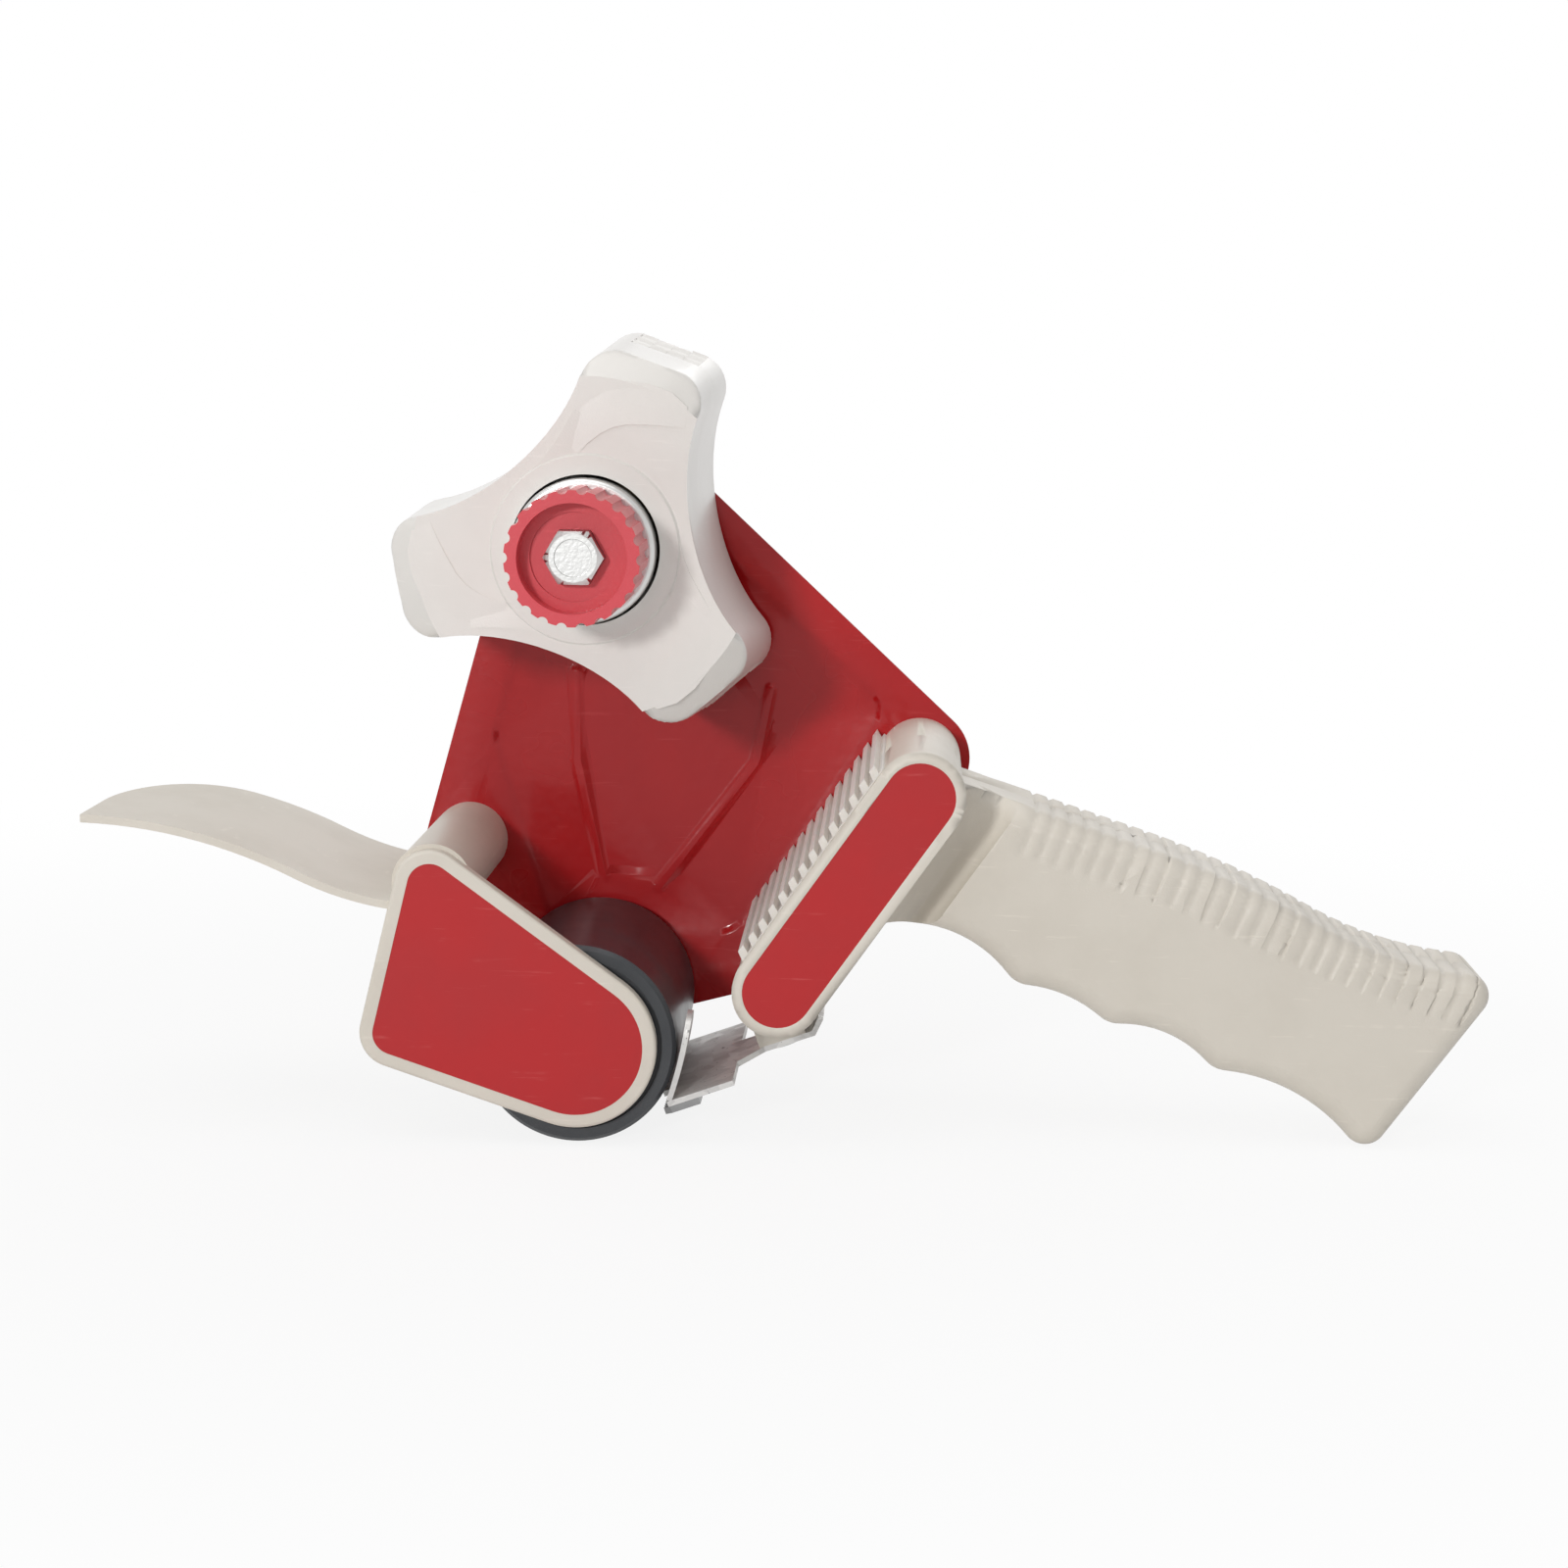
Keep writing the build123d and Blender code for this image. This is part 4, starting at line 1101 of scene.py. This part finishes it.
def make_blade():
    """Blade with a row of pointed teeth, under the guide plate."""
    back = blade_start + blade_width
    pitch = (tape_far - tape_near) / blade_teeth
    places = [(back, tape_far), (back, tape_near)]
    for tooth in range(blade_teeth):
        low = tape_near + tooth * pitch
        places += [(blade_start + tooth_depth, low), (blade_start, low + pitch / 2)]
    places.append((blade_start + tooth_depth, tape_far))
    bm = on_plate(flat_body(places, -plate_thick - blade_thick, -plate_thick - blade_gap))
    finish_piece("toothed_blade", bm, "frame", "blade_steel", "blade", sharp=20.0)


def make_rivets():
    """Two flat round rivet heads under the blade."""
    bm = bmesh.new()
    for across in (-rivet_across, rivet_across):
        head = bmesh.new()
        bmesh.ops.create_uvsphere(head, u_segments=32, v_segments=16, radius=rivet_radius)
        slice_by(head, (0, 0, 0), (0, 0, 1), clear_outer=True)
        rim = [edge for edge in head.edges if edge.is_boundary]
        bmesh.ops.contextual_create(head, geom=rim)
        bmesh.ops.scale(head, verts=head.verts, vec=(1, 1, rivet_flatness))
        bmesh.ops.translate(head, verts=head.verts, vec=(rivet_along, across, -plate_thick - blade_thick))
        pour(bm, head)
    finish_piece("rivet_heads", on_plate(bm), "frame", "zinc_steel", "blade_rivets", sharp=40.0)


def make_tail_screw():
    """Cross-recessed screw head under the tail."""
    bm = bmesh.new()
    bmesh.ops.create_cone(bm, cap_ends=True, segments=40, radius1=screw_face, radius2=screw_seat,
                          depth=screw_head)
    bmesh.ops.translate(bm, verts=bm.verts, vec=(0, 0, -screw_head / 2))
    for size in ((recess_long, recess_wide), (recess_wide, recess_long)):
        arm = bmesh.new()
        bmesh.ops.create_cube(arm, size=1.0)
        bmesh.ops.scale(arm, verts=arm.verts, vec=(*size, recess_high))
        bmesh.ops.translate(arm, verts=arm.verts, vec=(0, 0, -screw_head))
        bm = combine(bm, arm, "DIFFERENCE")
    place = (plate_long + screw_along, (tail_near + tail_far) / 2, -plate_thick)
    bmesh.ops.translate(bm, verts=bm.verts, vec=place)
    finish_piece("tail_screw", on_plate(bm), "frame", "zinc_steel", "guide_screw", sharp=30.0)


make_guide_sheet()
make_blade()
make_rivets()
make_tail_screw()
